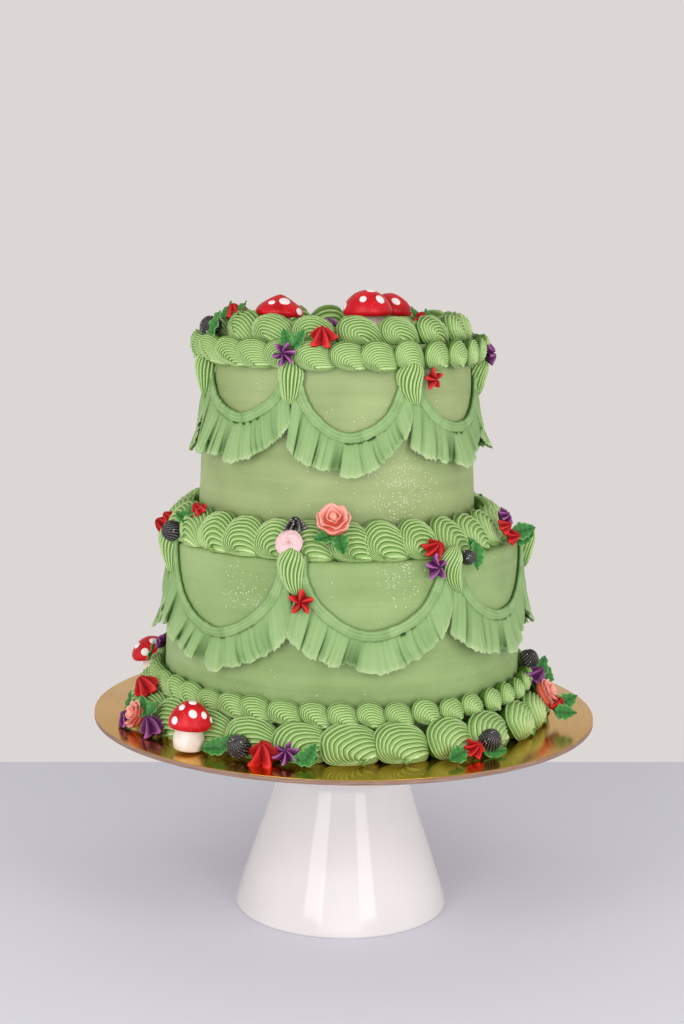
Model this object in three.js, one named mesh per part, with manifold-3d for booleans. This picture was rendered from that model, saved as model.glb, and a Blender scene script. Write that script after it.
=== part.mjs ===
// Two-tier buttercream cake with shell borders, swags and piped toppings,
// on a foil-covered cake board and a glazed pedestal stand.
// Millimetres, +Z up. The origin is the centre of the stand's foot, on the table.
// An azimuth is in degrees: 0 faces -Y, the front, and 90 faces +X.
import * as THREE from 'three';
import { mergeVertices } from 'three/addons/utils/BufferGeometryUtils.js';
import Module from 'manifold-3d';

const wasm = await Module();
wasm.setup();

// Driving dimensions

const GAP = 0.35;

const STAND_HEIGHT = 122;
const FOOT_RADIUS = 65.4;
const NECK_RADIUS = 39;
const NECK_Z = 84;
const HEAD_RADIUS = 77;
const HEAD_Z = 96;
const STAND_WALL = 6;
const HOLLOW_Z = 70;

const BOARD_RADIUS = 152.4;
const BOARD_THICKNESS = 3;
const BOARD_TOP = STAND_HEIGHT + BOARD_THICKNESS;

const LOWER = {
  centreX: -1.8, bottom: BOARD_TOP, top: 234, footRadius: 108.5, topRadius: 105.5, rounding: 3,
};
const UPPER = { centreX: -6.4, bottom: 234, top: 352, footRadius: 84, topRadius: 78.5, rounding: 3 };

// Borders of piped shells: count round the ring, ring radius and height of a shell's middle,
// lift of its face above level, its half length, half height and depth, the slant of its tail,
// the surface it lies on and the azimuth of the first one.
const BASE_SHELLS = {
  tier: LOWER, count: 27, radius: 117, z: 136.3, lift: 34, wide: 16.6, tall: 13.4, deep: 9.8,
  slant: -8, floor: BOARD_TOP, first: 3,
};
const BASE_ROPE = {
  tier: LOWER, count: 44, radius: 111.2, z: 154, lift: 12, wide: 9.9, tall: 6.4, deep: 5.4,
  slant: -14, floor: 0, first: 1,
};
const LEDGE_SHELLS = {
  tier: UPPER, count: 29, radius: 92.6, z: 242.3, lift: 40, wide: 15.5, tall: 14.8, deep: 9,
  slant: -26, floor: LOWER.top, first: 5,
};
const SIDE_ROPE = {
  tier: UPPER, count: 29, radius: 81.6, z: 346.6, lift: 0, wide: 12.4, tall: 8.2, deep: 5.9,
  slant: -10, floor: 0, first: 4,
};
const CROWN_SHELLS = {
  tier: { ...UPPER, centreX: -4.9 }, count: 18, radius: 67, z: 359.8, lift: 40,
  wide: 15.4, tall: 9.4, deep: 9, slant: -6, floor: UPPER.top, first: 8,
};
const SWIRL_EYE = { along: 0.36, down: 0.4 };
// A rope's lobes: places along one lobe from its head to its tail, with the fullness there.
const ROPE_LOBE = [{ place: 0.02, full: 0.64 }, { place: 0.46, full: 1 }];

// Swags: scallops of cord with a ruffle below, hung between ridged drops. Each has its own drop
// at its left end. Heights are of the cord's ends and of the ruffle's notch under each drop.
const SWAG_COUNT = 7;
const UPPER_SWAGS = {
  tier: UPPER, hung: 334.6, notch: 312,
  drops: [-68.8, -18.7, 29.6, 85.8, 137.2, 188.5, 239.9],
  cordSags: [25.5, 34, 31, 31, 34, 30, 32],
  ruffleSags: [27.5, 33.5, 30, 30, 33, 29, 31],
};
const LOWER_SWAGS = {
  tier: LOWER, hung: 232.5, notch: 207,
  drops: [-69.2, -15, 33.9, 84, 135.7, 187.4, 239.1],
  cordSags: [43.5, 39, 36, 40, 39, 41, 38],
  ruffleSags: [38, 34, 32.5, 35, 34, 36, 33],
};
const CORD_RADIUS = 2.7;
const CORD_CURVE = 2.05;
const CORD_SPAN = 0.82;
const RUFFLE_CURVE = { left: 4.5, right: 2.4 };
const RUFFLE_THICKNESS = 1.9;
const RUFFLE_FLARE = 6;
const PLEAT_DEPTH = 1.7;
const PLEATS = 7;
const DROP = { wide: 7.6, tall: 13.5, deep: 7.6, below: 4.5 };
const DROP_TAPER = 0.45;

// Mushrooms: cap radius and height, stem radius and height, tilt of the whole to the right.
const MUSHROOMS = [
  {
    name: 'top_left', tier: UPPER, azimuth: -42, radius: 50, base: UPPER.top,
    cap: 14.4, high: 14, stem: 7.5, tall: 12.5, tilt: -3,
  },
  {
    name: 'top_middle', tier: UPPER, azimuth: 23, radius: 40, base: UPPER.top,
    cap: 14.6, high: 15.5, stem: 8, tall: 14, tilt: -2,
  },
  {
    name: 'top_right', tier: UPPER, azimuth: 74, radius: 29, base: UPPER.top,
    cap: 14, high: 14, stem: 7.5, tall: 12.5, tilt: 4,
  },
  {
    name: 'base_left', tier: LOWER, azimuth: -116, radius: 129, base: BOARD_TOP,
    cap: 13, high: 13.5, stem: 7.5, tall: 16, tilt: -12,
  },
  {
    name: 'base_front', tier: LOWER, azimuth: -40, radius: 137, base: BOARD_TOP,
    cap: 12.4, high: 14.5, stem: 8.3, tall: 13.5, tilt: 4,
  },
];

// Piped toppings in touching groups. Each piece has its kind and colour, its azimuth, ring radius and
// height, the lift of its face above level, its turn about that face and its width.
const GROUPS = [
  {
    name: 'top_left_toppings', tier: UPPER,
    pieces: [
      ['dollop', 'dark', -70, 81.2, 359, 35, 0, 13], ['leaf', 'leaf', -63.9, 80.2, 359.4, 30, 75, 14],
      ['star', 'red', -75.7, 77.2, 363.4, 60, 20, 12], ['leaf', 'leaf', -82, 73.8, 365.2, 60, 120, 12],
    ],
  },
  {
    name: 'top_front_left_toppings', tier: UPPER,
    pieces: [
      ['star', 'purple', -20.4, 89.6, 346.8, 10, 10, 14], ['leaf', 'leaf', -22.9, 85.2, 352.6, 30, 112, 11],
      ['leaf', 'leaf', -18.3, 85.2, 354.2, 30, 68, 11],
    ],
  },
  {
    name: 'top_front_toppings', tier: UPPER,
    pieces: [
      ['star', 'red', -6, 85.6, 357, 40, 0, 15],
    ],
  },
  {
    name: 'top_inner_toppings', tier: UPPER,
    pieces: [
      ['star', 'purple', -7, 52, 355.4, 70, 0, 13], ['leaf', 'leaf', -13, 49.8, 355.6, 60, 120, 10],
    ],
  },
  {
    name: 'top_back_right_toppings', tier: UPPER,
    pieces: [
      ['star', 'red', 62, 60.8, 369, 70, 15, 14], ['leaf', 'leaf', 59.7, 57, 366.6, 45, 105, 12],
      ['leaf', 'leaf', 60.9, 55.8, 365.8, 45, 85, 12],
    ],
  },
  {
    name: 'top_right_toppings', tier: UPPER,
    pieces: [
      ['star', 'purple', 84, 90, 344.2, 10, 0, 14.5],
    ],
  },
  {
    name: 'upper_drop_toppings', tier: UPPER,
    pieces: [
      ['star', 'red', 38, 86.6, 332.6, 0, 20, 14],
    ],
  },
  {
    name: 'top_back_toppings', tier: UPPER,
    pieces: [
      ['rose', 'coral', 164, 81.8, 357, 38, 0, 16], ['leaf', 'leaf', 157.8, 84, 355.4, 30, 150, 12],
      ['dollop', 'dark', 171.2, 82.6, 356.6, 36, 0, 12],
    ],
  },
  {
    name: 'ledge_left_toppings', tier: LOWER,
    pieces: [
      ['dollop', 'dark', -77, 108, 242, 25, 0, 13.5], ['star', 'red', -81.6, 110.8, 241.2, 20, 0, 10],
      ['leaf', 'leaf', -71.4, 105.4, 246.8, 45, 20, 13], ['star', 'red', -67.3, 104.4, 250.6, 50, 0, 10],
    ],
  },
  {
    name: 'ledge_front_left_toppings', tier: LOWER,
    pieces: [
      ['dollop', 'dark', -14.5, 96, 251.8, 50, 0, 10], ['rosette', 'pink', -15.7, 101.8, 245.8, 30, 0, 16],
    ],
  },
  {
    name: 'ledge_front_toppings', tier: LOWER,
    pieces: [
      ['rose', 'coral', -3.2, 93.4, 250.4, 42, 0, 17.5], ['leaf', 'leaf', -6.5, 101.4, 245, 35, 205, 13],
      ['leaf', 'leaf', -0.5, 102.2, 243.2, 30, 290, 13],
    ],
  },
  {
    name: 'ledge_front_right_toppings', tier: LOWER,
    pieces: [
      ['star', 'red', 27.6, 104.4, 240, 30, 0, 13], ['star', 'purple', 27.5, 110.2, 239.6, 5, 15, 15],
    ],
  },
  {
    name: 'ledge_right_toppings', tier: LOWER,
    pieces: [
      ['dollop', 'dark', 39.8, 112.6, 233.4, 5, 0, 9.5], ['leaf', 'leaf', 41.3, 108.8, 233.8, 10, 280, 15],
      ['leaf', 'leaf', 41, 106, 235.8, 20, 140, 12],
    ],
  },
  {
    name: 'ledge_far_right_toppings', tier: LOWER,
    pieces: [
      ['star', 'purple', 69, 100, 244.8, 40, 0, 13], ['star', 'red', 70, 102.8, 238, 25, 20, 13],
      ['leaf', 'leaf', 75.5, 101.4, 237.4, 25, 10, 14],
    ],
  },
  {
    name: 'lower_drop_toppings', tier: LOWER,
    pieces: [
      ['star', 'red', -11.5, 113, 213, 0, 12, 14.5],
    ],
  },
  {
    name: 'ledge_back_left_toppings', tier: LOWER,
    pieces: [
      ['rosette', 'pink', -142, 106.6, 246.6, 30, 0, 15], ['dollop', 'dark', -136.3, 106, 247.8, 38, 0, 12],
      ['leaf', 'leaf', -146.2, 104, 246.6, 45, 140, 13],
    ],
  },
  {
    name: 'ledge_back_right_toppings', tier: LOWER,
    pieces: [
      ['star', 'red', 133, 102.2, 243.8, 35, 0, 14], ['star', 'purple', 138.7, 102.2, 243.8, 35, 15, 14],
      ['leaf', 'leaf', 127.8, 100.2, 243, 38, 175, 13],
    ],
  },
  {
    name: 'base_back_left_toppings', tier: LOWER,
    pieces: [
      ['star', 'purple', -93, 115.8, 159.4, 30, 0, 12], ['leaf', 'leaf', -89.2, 115.4, 159.2, 30, 70, 13],
    ],
  },
  {
    name: 'base_left_toppings', tier: LOWER,
    pieces: [
      ['star', 'red', -65, 125.6, 146, 35, 0, 15], ['rose', 'coral', -62.5, 129.4, 137.8, 30, 0, 15],
      ['star', 'purple', -58.7, 129.8, 135.8, 30, 10, 15], ['star', 'purple', -65, 135, 131.4, 15, 0, 12],
      ['leaf', 'leaf', -57.5, 124.2, 137.2, 40, 60, 15],
    ],
  },
  {
    name: 'base_front_left_toppings', tier: LOWER,
    pieces: [
      ['leaf', 'leaf', -32.5, 127.4, 130.4, 35, 160, 15],
      ['dollop', 'dark', -28.9, 129.2, 133.2, 35, 0, 15], ['star', 'red', -24.1, 131.8, 133.4, 30, 0, 16.5],
      ['star', 'purple', -19.3, 130.8, 132.2, 30, 20, 14.5],
      ['leaf', 'leaf', -14.7, 129.6, 131.2, 30, 15, 15],
    ],
  },
  {
    name: 'base_front_right_toppings', tier: LOWER,
    pieces: [
      ['leaf', 'leaf', 28, 130.6, 131.6, 35, 200, 14], ['star', 'red', 32.2, 132.4, 131.6, 25, 0, 13],
      ['dollop', 'dark', 36.8, 130.2, 133.6, 35, 0, 14], ['leaf', 'leaf', 39, 132.6, 128.4, 25, 345, 14],
    ],
  },
  {
    name: 'base_right_toppings', tier: LOWER,
    pieces: [
      ['dollop', 'dark', 73, 116, 159.4, 35, 0, 12], ['star', 'purple', 77.2, 119, 155.6, 35, 10, 14],
      ['rose', 'coral', 74.8, 123.4, 148, 35, 0, 16], ['star', 'red', 75.4, 126, 141.6, 25, 0, 14],
      ['leaf', 'leaf', 80.9, 119.6, 153.2, 35, 60, 15], ['leaf', 'leaf', 78.9, 128.6, 135.8, 30, 10, 15],
    ],
  },
  {
    name: 'base_back_toppings', tier: LOWER,
    pieces: [
      ['rose', 'coral', 151, 129.8, 136.2, 35, 0, 16], ['star', 'red', 146.8, 130.8, 135.8, 35, 0, 14],
      ['dollop', 'dark', 155.5, 128.6, 135.2, 35, 0, 13], ['leaf', 'leaf', 160.6, 128.6, 134.2, 35, 10, 14],
    ],
  },
];

// Counts of faces
const RING_STEPS = 48;
const STAND_STEPS = 28;
const SHELL_COLUMNS = 7;
const SHELL_ROWS = 3;
const ROPE_SIDES = 5;
const CORD_SIDES = 4;
const CORD_STEPS = 9;
const DROP_COLUMNS = 6;
const DROP_ROWS = 4;
const CAP_STEPS = 11;
const STEM_STEPS = 8;
// How far a face may move when needless faces are dropped after a join or a cut.
const SIMPLER = 0.12;

const BUTTERCREAM = { color: '#9db87c', roughness: 0.55 };
const RUFFLE_CREAM = { color: '#a0bb82', roughness: 0.55 };
const COLOURS = {
  red: '#c2141f', purple: '#5d2f63', dark: '#2e2c2b', coral: '#e58a7b', pink: '#eacfcf', leaf: '#3f7d4a',
};

// Small helpers

const radians = THREE.MathUtils.degToRad;

function material(color, roughness, metalness = 0) {
  return new THREE.MeshStandardMaterial({ color, roughness, metalness });
}

// A repeatable number from -1 to 1 for the given item and trait.
function uneven(item, trait) {
  const wave = Math.sin(item * 12.9898 + trait * 78.233) * 43758.5453;
  return 2 * (wave - Math.floor(wave)) - 1;
}

// Right, outward and up directions at an azimuth, with the face lifted above level.
function facing(azimuth, lift) {
  const turn = radians(azimuth);
  const level = new THREE.Vector3(Math.sin(turn), -Math.cos(turn), 0);
  const right = new THREE.Vector3(Math.cos(turn), Math.sin(turn), 0);
  const raise = radians(lift);
  const out = level.clone().multiplyScalar(Math.cos(raise)).setZ(Math.sin(raise));
  const up = level.clone().multiplyScalar(-Math.sin(raise)).setZ(Math.cos(raise));
  return { right, out, up };
}

function onRing(tier, azimuth, radius, z) {
  const turn = radians(azimuth);
  return new THREE.Vector3(tier.centreX + radius * Math.sin(turn), -radius * Math.cos(turn), z);
}

function wallRadius(tier, z) {
  const rise = THREE.MathUtils.clamp((z - tier.bottom) / (tier.top - tier.bottom), 0, 1);
  return THREE.MathUtils.lerp(tier.footRadius, tier.topRadius, rise);
}

// Moves a point off the surface below and, where that is lower than the tier's top, out of the
// tier's wall or what covers it.
function clearOf(tier, floor, point, cover = 0) {
  const radius = Math.hypot(point.x - tier.centreX, point.y);
  const least = wallRadius(tier, point.z) + GAP + cover;
  const low = floor + GAP;
  if (radius < least && floor < tier.top) {
    const scale = least / Math.max(radius, 1);
    point.x = tier.centreX + (point.x - tier.centreX) * scale;
    point.y *= scale;
  }
  point.z = Math.max(point.z, low);
  return point;
}

// Closed solids

function bare(geometry) {
  geometry.deleteAttribute('normal');
  geometry.deleteAttribute('uv');
  return mergeVertices(geometry);
}

function solidOf(geometry) {
  const mesh = new wasm.Mesh({
    numProp: 3,
    vertProperties: new Float32Array(geometry.getAttribute('position').array),
    triVerts: new Uint32Array(geometry.getIndex().array),
  });
  return new wasm.Manifold(mesh);
}

function joined(solids) {
  return solids.reduce((whole, next) => whole.add(next)).simplify(SIMPLER);
}

// The largest part of a solid, without scraps and with its closed hollows filled.
function largestPart(solid) {
  return solid.decompose().reduce((best, part) => (part.volume() > best.volume() ? part : best));
}

// Cuts the supports out of a piece.
function seated(piece, supports) {
  const cut = supports.reduce((rest, support) => rest.subtract(support), piece);
  return largestPart(cut).simplify(SIMPLER);
}

function geometryOf(solid) {
  const { vertProperties, triVerts } = solid.getMesh();
  const geometry = new THREE.BufferGeometry();
  geometry.setAttribute('position', new THREE.BufferAttribute(vertProperties, 3));
  geometry.setIndex(new THREE.BufferAttribute(triVerts, 1));
  return geometry;
}

const cake = new THREE.Group();

function addNode(name, geometry, look) {
  const mesh = new THREE.Mesh(geometry, look);
  mesh.name = name;
  cake.add(mesh);
}

// A closed ball whose point at (row, around) is given by shape, in a right, out, up frame.
// Row 0 is the face's middle and the last row the middle of the back.
function shapedBall(columns, rows, shape) {
  const geometry = bare(new THREE.SphereGeometry(1, columns, rows));
  const places = geometry.getAttribute('position');
  for (let i = 0; i < places.count; i += 1) {
    const row = Math.round((Math.acos(THREE.MathUtils.clamp(places.getY(i), -1, 1)) / Math.PI) * rows);
    const around = Math.atan2(places.getZ(i), -places.getX(i));
    const point = shape(row, around);
    places.setXYZ(i, point.x, point.y, point.z);
  }
  return solidOf(geometry);
}

// A skin through rows of points, each row a closed outline. It closes on itself, or its ends
// are capped. The halves of an outline are split into triangles alike.
function loft(outlines, closes) {
  const size = outlines[0].length;
  const places = outlines.flat().flatMap((point) => point.toArray());
  const faces = [];
  const spans = closes ? outlines.length : outlines.length - 1;
  for (let i = 0; i < spans; i += 1) {
    const here = i * size;
    const there = ((i + 1) % outlines.length) * size;
    for (let j = 0; j < size; j += 1) {
      const next = (j + 1) % size;
      if (j < size / 2) {
        faces.push(here + j, there + j, there + next, here + j, there + next, here + next);
      } else {
        faces.push(here + j, there + j, here + next, here + next, there + j, there + next);
      }
    }
  }
  if (!closes) {
    const last = (outlines.length - 1) * size;
    for (let j = 1; j < size - 1; j += 1) {
      faces.push(0, j, j + 1);
      faces.push(last, last + j + 1, last + j);
    }
  }
  const geometry = new THREE.BufferGeometry();
  geometry.setAttribute('position', new THREE.Float32BufferAttribute(places, 3));
  geometry.setIndex(faces);
  return solidOf(geometry);
}

function turned(profile, steps) {
  const geometry = new THREE.LatheGeometry(profile.map(([r, z]) => new THREE.Vector2(r, z)), steps);
  geometry.rotateX(Math.PI / 2);
  return bare(geometry);
}

// Stand and board

function standGeometry() {
  const profile = [
    [0, HOLLOW_Z], [NECK_RADIUS - STAND_WALL - 4, HOLLOW_Z - 4],
    [FOOT_RADIUS - STAND_WALL, 0], [FOOT_RADIUS - 1, 0], [FOOT_RADIUS, 1.5],
    [62.1, 14], [53.6, 40], [44.8, 65.4], [NECK_RADIUS, NECK_Z], [NECK_RADIUS + 3, NECK_Z + 6],
    [HEAD_RADIUS - 2, HEAD_Z], [HEAD_RADIUS, HEAD_Z + 2], [HEAD_RADIUS, STAND_HEIGHT - GAP],
    [0, STAND_HEIGHT - GAP],
  ];
  return turned(profile, STAND_STEPS);
}

function boardGeometry(grow = 0) {
  const low = STAND_HEIGHT;
  const high = BOARD_TOP + grow;
  return turned([[0, low], [BOARD_RADIUS, low], [BOARD_RADIUS, high], [0, high]], RING_STEPS);
}

// Tiers

function tierSolid(tier, grow = 0) {
  const low = tier.bottom + GAP - grow;
  const high = tier.top + grow;
  const foot = tier.footRadius + grow;
  const rim = tier.topRadius + grow;
  const soft = tier.rounding;
  const profile = [[0, low], [foot, low], [rim, high - soft], [rim - soft, high], [0, high]];
  const geometry = turned(profile, RING_STEPS);
  geometry.translate(tier.centreX, 0, 0);
  return solidOf(geometry);
}

// One piped shell: a dome whose rings are nested round an eye low on the tail side.
function shellSolid(border, index, grow) {
  const pitch = 360 / border.count;
  const azimuth = border.first + index * pitch + uneven(index, border.count) * pitch * 0.07;
  const swell = 1 + 0.06 * uneven(index, border.count + 1);
  const wide = border.wide * swell + grow;
  const tall = border.tall * (1 + 0.05 * uneven(index, border.count + 2)) + grow;
  const deep = border.deep * swell + grow;
  const slant = radians(border.slant + 7 * uneven(index, border.count + 3));
  const { right, out, up } = facing(azimuth, border.lift);
  const middle = onRing(border.tier, azimuth, border.radius, border.z);
  return shapedBall(SHELL_COLUMNS, SHELL_ROWS, (row, around) => {
    const back = row === SHELL_ROWS;
    const spread = back ? 0 : row / (SHELL_ROWS - 1);
    const along = SWIRL_EYE.along * (1 - spread) + spread * Math.cos(around);
    const above = -SWIRL_EYE.down * (1 - spread) + spread * Math.sin(around);
    const dome = Math.sqrt(Math.max(0, 1 - along * along - above * above));
    const x = wide * (along * Math.cos(slant) - above * Math.sin(slant));
    const z = tall * (along * Math.sin(slant) + above * Math.cos(slant));
    const y = back ? -deep * 0.9 : deep * dome;
    const point = middle.clone().addScaledVector(right, x).addScaledVector(up, z).addScaledVector(out, y);
    return clearOf(border.tier, border.floor, point);
  });
}

function shellRing(border, grow = 0) {
  return joined(Array.from({ length: border.count }, (_, index) => shellSolid(border, index, grow)));
}

// A rope of small shells in one strip: its section swells at each head and thins at each tail.
function ropeRing(border, grow = 0) {
  const pitch = 360 / border.count;
  const outlines = [];
  for (let index = 0; index < border.count; index += 1) {
    ROPE_LOBE.forEach(({ place, full }, part) => {
      const swell = full * (1 + 0.05 * uneven(index, border.count + part));
      const azimuth = border.first + (index + place - 0.3) * pitch;
      const { out, up } = facing(azimuth, border.lift);
      const { right } = facing(azimuth, 0);
      const middle = onRing(border.tier, azimuth, border.radius, border.z);
      outlines.push(Array.from({ length: ROPE_SIDES }, (_, side) => {
        const turn = (2 * Math.PI * (side + 0.5)) / ROPE_SIDES;
        const rise = (border.tall * swell + grow) * Math.cos(turn);
        const depth = (border.deep * swell + grow) * Math.sin(turn);
        const lean = rise * Math.tan(radians(border.slant));
        const point = middle.clone()
          .addScaledVector(up, rise * 1.12)
          .addScaledVector(out, -depth * 1.08)
          .addScaledVector(right, lean);
        return clearOf(border.tier, border.floor, point);
      }));
    });
  }
  return loft(outlines, true);
}

// Swags

// How far a scallop hangs down, from 0 to 1, at a place from -1 to 1 across it.
function scallop(curve, place) {
  return Math.max(0, 1 - Math.abs(place) ** curve) ** (1 / curve);
}

function swagAzimuth(swags, index, place) {
  const start = swags.drops[index];
  const end = index + 1 < SWAG_COUNT ? swags.drops[index + 1] : swags.drops[0] + 360;
  return THREE.MathUtils.lerp(start, end, (1 + place) / 2);
}

// A middle point of the cord. It passes level behind each drop, comes out beside it and hangs.
function cordMiddle(swags, index, step) {
  const across = (2 * (step - 1)) / (CORD_STEPS - 2) - 1;
  const part = step < 1 ? -1 : Math.sin((Math.PI / 2) * Math.min(across, 1));
  const place = step < 1 ? -1 : CORD_SPAN * part;
  const z = swags.hung - swags.cordSags[index] * scallop(CORD_CURVE, part);
  const radius = wallRadius(swags.tier, z) + GAP + CORD_RADIUS * 0.98;
  return { azimuth: swagAzimuth(swags, index, place), radius, z };
}

// The cords are one strip round the tier.
function cordRing(swags, grow = 0) {
  const thickness = CORD_RADIUS + grow;
  const outlines = [];
  for (let index = 0; index < SWAG_COUNT; index += 1) {
    for (let step = 0; step < CORD_STEPS; step += 1) {
      const { azimuth, radius, z } = cordMiddle(swags, index, step);
      const behind = cordMiddle(swags, index, Math.max(step - 0.3, 1));
      const ahead = cordMiddle(swags, index, Math.min(step + 0.3, CORD_STEPS - 1));
      const run = radians(ahead.azimuth - behind.azimuth) * radius;
      const slope = step === 0 ? 0 : Math.atan2(ahead.z - behind.z, run);
      const { right, out, up } = facing(azimuth, 0);
      const across = right.clone().multiplyScalar(-Math.sin(slope)).addScaledVector(up, Math.cos(slope));
      const middle = onRing(swags.tier, azimuth, radius, z);
      outlines.push(Array.from({ length: CORD_SIDES }, (_, side) => {
        const turn = (2 * Math.PI * (side + 0.5)) / CORD_SIDES + Math.PI / 2;
        return middle.clone()
          .addScaledVector(across, thickness * Math.cos(turn))
          .addScaledVector(out, -thickness * Math.sin(turn));
      }));
    }
  }
  return loft(outlines, true);
}

// The ruffle is one pleated strip round the tier. Its upper edge follows the cord's lower side
// and its lower edge flares off the wall, full at a swag's left end and drawn in at its right.
function ruffleRing(swags, grow = 0) {
  const steps = PLEATS * 2;
  const behindDrop = 9;
  const outlines = [];
  for (let index = 0; index < SWAG_COUNT; index += 1) {
    const halfTurn = radians(swagAzimuth(swags, index, 1) - swagAzimuth(swags, index, 0));
    const cordSide = CORD_SPAN + (CORD_RADIUS + 2 * GAP) / (halfTurn * swags.tier.topRadius);
    for (let i = 0; i < steps; i += 1) {
      const part = Math.sin((Math.PI / 2) * ((2 * i) / steps - 1));
      const spread = Math.sign(part) * Math.abs(part) ** 0.8;
      const curve = spread < 0 ? RUFFLE_CURVE.left : RUFFLE_CURVE.right;
      const drawn = (swags.cordSags[index] + CORD_RADIUS + 2 * GAP) * scallop(CORD_CURVE, part);
      const highZ = swags.hung - Math.max(drawn, behindDrop);
      const hem = swags.notch - swags.ruffleSags[index] * scallop(curve, spread);
      const lowZ = hem + (i === 0 ? 0 : 0.8 * uneven(index * steps + i, 5));
      const pleat = i % 2 === 0 ? PLEAT_DEPTH : 0;
      const ease = 1 - 0.6 * Math.abs(part) ** 4;
      const highR = wallRadius(swags.tier, highZ) + GAP + 0.8;
      const flare = (RUFFLE_FLARE - pleat * 1.6 + uneven(i, index)) * ease;
      const lowR = wallRadius(swags.tier, lowZ) + GAP + flare;
      const highAz = swagAzimuth(swags, index, i === 0 ? -1 : part * cordSide);
      const lowAz = swagAzimuth(swags, index, spread);
      const thick = RUFFLE_THICKNESS + grow;
      outlines.push([
        onRing(swags.tier, highAz, highR - grow, highZ + grow),
        onRing(swags.tier, lowAz, lowR - grow, lowZ - grow),
        onRing(swags.tier, lowAz, lowR + thick, lowZ - grow),
        onRing(swags.tier, highAz, highR + thick, highZ + grow),
      ]);
    }
  }
  return loft(outlines, true);
}

// A ridged drop, piped over the cords' ends.
function dropSolid(swags, index, grow = 0) {
  const azimuth = swags.drops[index];
  const cover = 2 * CORD_RADIUS + GAP - grow;
  const middleZ = swags.hung - DROP.below;
  const { right, out, up } = facing(azimuth, 0);
  const middle = onRing(swags.tier, azimuth, wallRadius(swags.tier, middleZ) + CORD_RADIUS, middleZ);
  return shapedBall(DROP_COLUMNS, DROP_ROWS, (row, around) => {
    const polar = (Math.PI * row) / DROP_ROWS;
    const height = Math.cos(polar);
    const taper = height < 0 ? 1 - DROP_TAPER * height * height : 1;
    const x = (DROP.wide + grow) * Math.sin(polar) * taper * Math.cos(around);
    const y = (DROP.deep + grow) * Math.sin(polar) * taper * Math.sin(-around);
    const z = (DROP.tall + grow) * height;
    const point = middle.clone().addScaledVector(right, x).addScaledVector(out, y).addScaledVector(up, z);
    return clearOf(swags.tier, 0, point, cover);
  });
}

// Mushrooms

function mushroomSolids({ tier, azimuth, radius, base, cap, high, stem, tall, tilt }) {
  const lip = cap * 0.8;
  const dip = 1.6;
  const capProfile = [
    [0, tall], [lip, tall - dip], [cap, tall - dip * 0.2], [cap * 0.9, tall + high * 0.42],
    [cap * 0.52, tall + high * 0.86], [0, tall + high],
  ];
  const shoulder = stem * 0.88;
  const stemProfile = [
    [0, 0], [stem, 0], [stem * 1.08, tall * 0.3],
    [shoulder, tall - (dip * shoulder) / lip - GAP], [0, tall - GAP],
  ];
  const place = onRing(tier, azimuth, radius, base + GAP);
  const lift = stem * Math.abs(Math.sin(radians(tilt)));
  const pose = new THREE.Matrix4().makeTranslation(place.x, place.y, place.z + lift)
    .multiply(new THREE.Matrix4().makeRotationY(radians(tilt)));
  const capGeometry = turned(capProfile, CAP_STEPS).applyMatrix4(pose);
  const stemGeometry = turned(stemProfile, STEM_STEPS).applyMatrix4(pose);
  return { cap: solidOf(capGeometry), stem: solidOf(stemGeometry) };
}

// Piped toppings

// Each kind is made at its width, with put placing a point right, out and up of the piece's middle.

// A low drop star: five creased petals round a small point.
function starSolid(width, put) {
  return shapedBall(10, 2, (row, around) => {
    if (row === 0) return put(0, width * 0.36, 0);
    if (row === 2) return put(0, -width * 0.22, 0);
    const petal = width * (Math.cos(5 * around) > 0 ? 0.54 : 0.33);
    return put(petal * Math.cos(around), 0, petal * Math.sin(around));
  });
}

// Any round piece from its outline, as parts of its width: radius and depth out of the face.
function roundSolid(outline, width, put) {
  return shapedBall(7, outline.length - 1, (row, around) => {
    const [radius, depth] = outline[row];
    return put(width * radius * Math.cos(around), width * depth, width * radius * Math.sin(around));
  });
}

// A thin creased leaf that grows to its right and curls off what it lies on.
function leafSolid(length, put) {
  const thick = length * 0.13;
  const rows = [[0, 0.18], [0.45, 0.31], [0.97, 0.05]].map(([part, broad]) => {
    const x = length * (part - 0.5);
    const half = length * broad;
    const rise = length * (0.05 + 0.28 * part * part);
    return [put(x, rise, half), put(x, rise - thick, 0), put(x, rise, -half), put(x, rise + thick * 0.3, 0)];
  });
  return loft(rows, false);
}

const KINDS = {
  star: starSolid,
  dollop: (width, put) => roundSolid([[0, 0.62], [0.34, 0.42], [0.5, 0.05], [0, -0.25]], width, put),
  rose: (width, put) => roundSolid([[0, 0.52], [0.32, 0.46], [0.5, 0.18], [0, -0.16]], width, put),
  rosette: (width, put) => roundSolid([[0, 0.3], [0.32, 0.32], [0.5, 0.1], [0, -0.16]], width, put),
  leaf: leafSolid,
};

function pieceSolid(tier, [kind, , azimuth, radius, z, lift, turn, width]) {
  const { right, out, up } = facing(azimuth, lift);
  const spin = radians(turn);
  const along = right.clone().multiplyScalar(Math.cos(spin)).addScaledVector(up, Math.sin(spin));
  const across = right.clone().multiplyScalar(-Math.sin(spin)).addScaledVector(up, Math.cos(spin));
  const middle = onRing(tier, azimuth, radius, z);
  return KINDS[kind](width, (toRight, outward, above) => middle.clone()
    .addScaledVector(along, toRight)
    .addScaledVector(out, outward)
    .addScaledVector(across, above));
}

addNode('stand', standGeometry(), material('#eee9e8', 0.12));
addNode('board', boardGeometry(), material('#a8862c', 0.25, 0.9));

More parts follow.
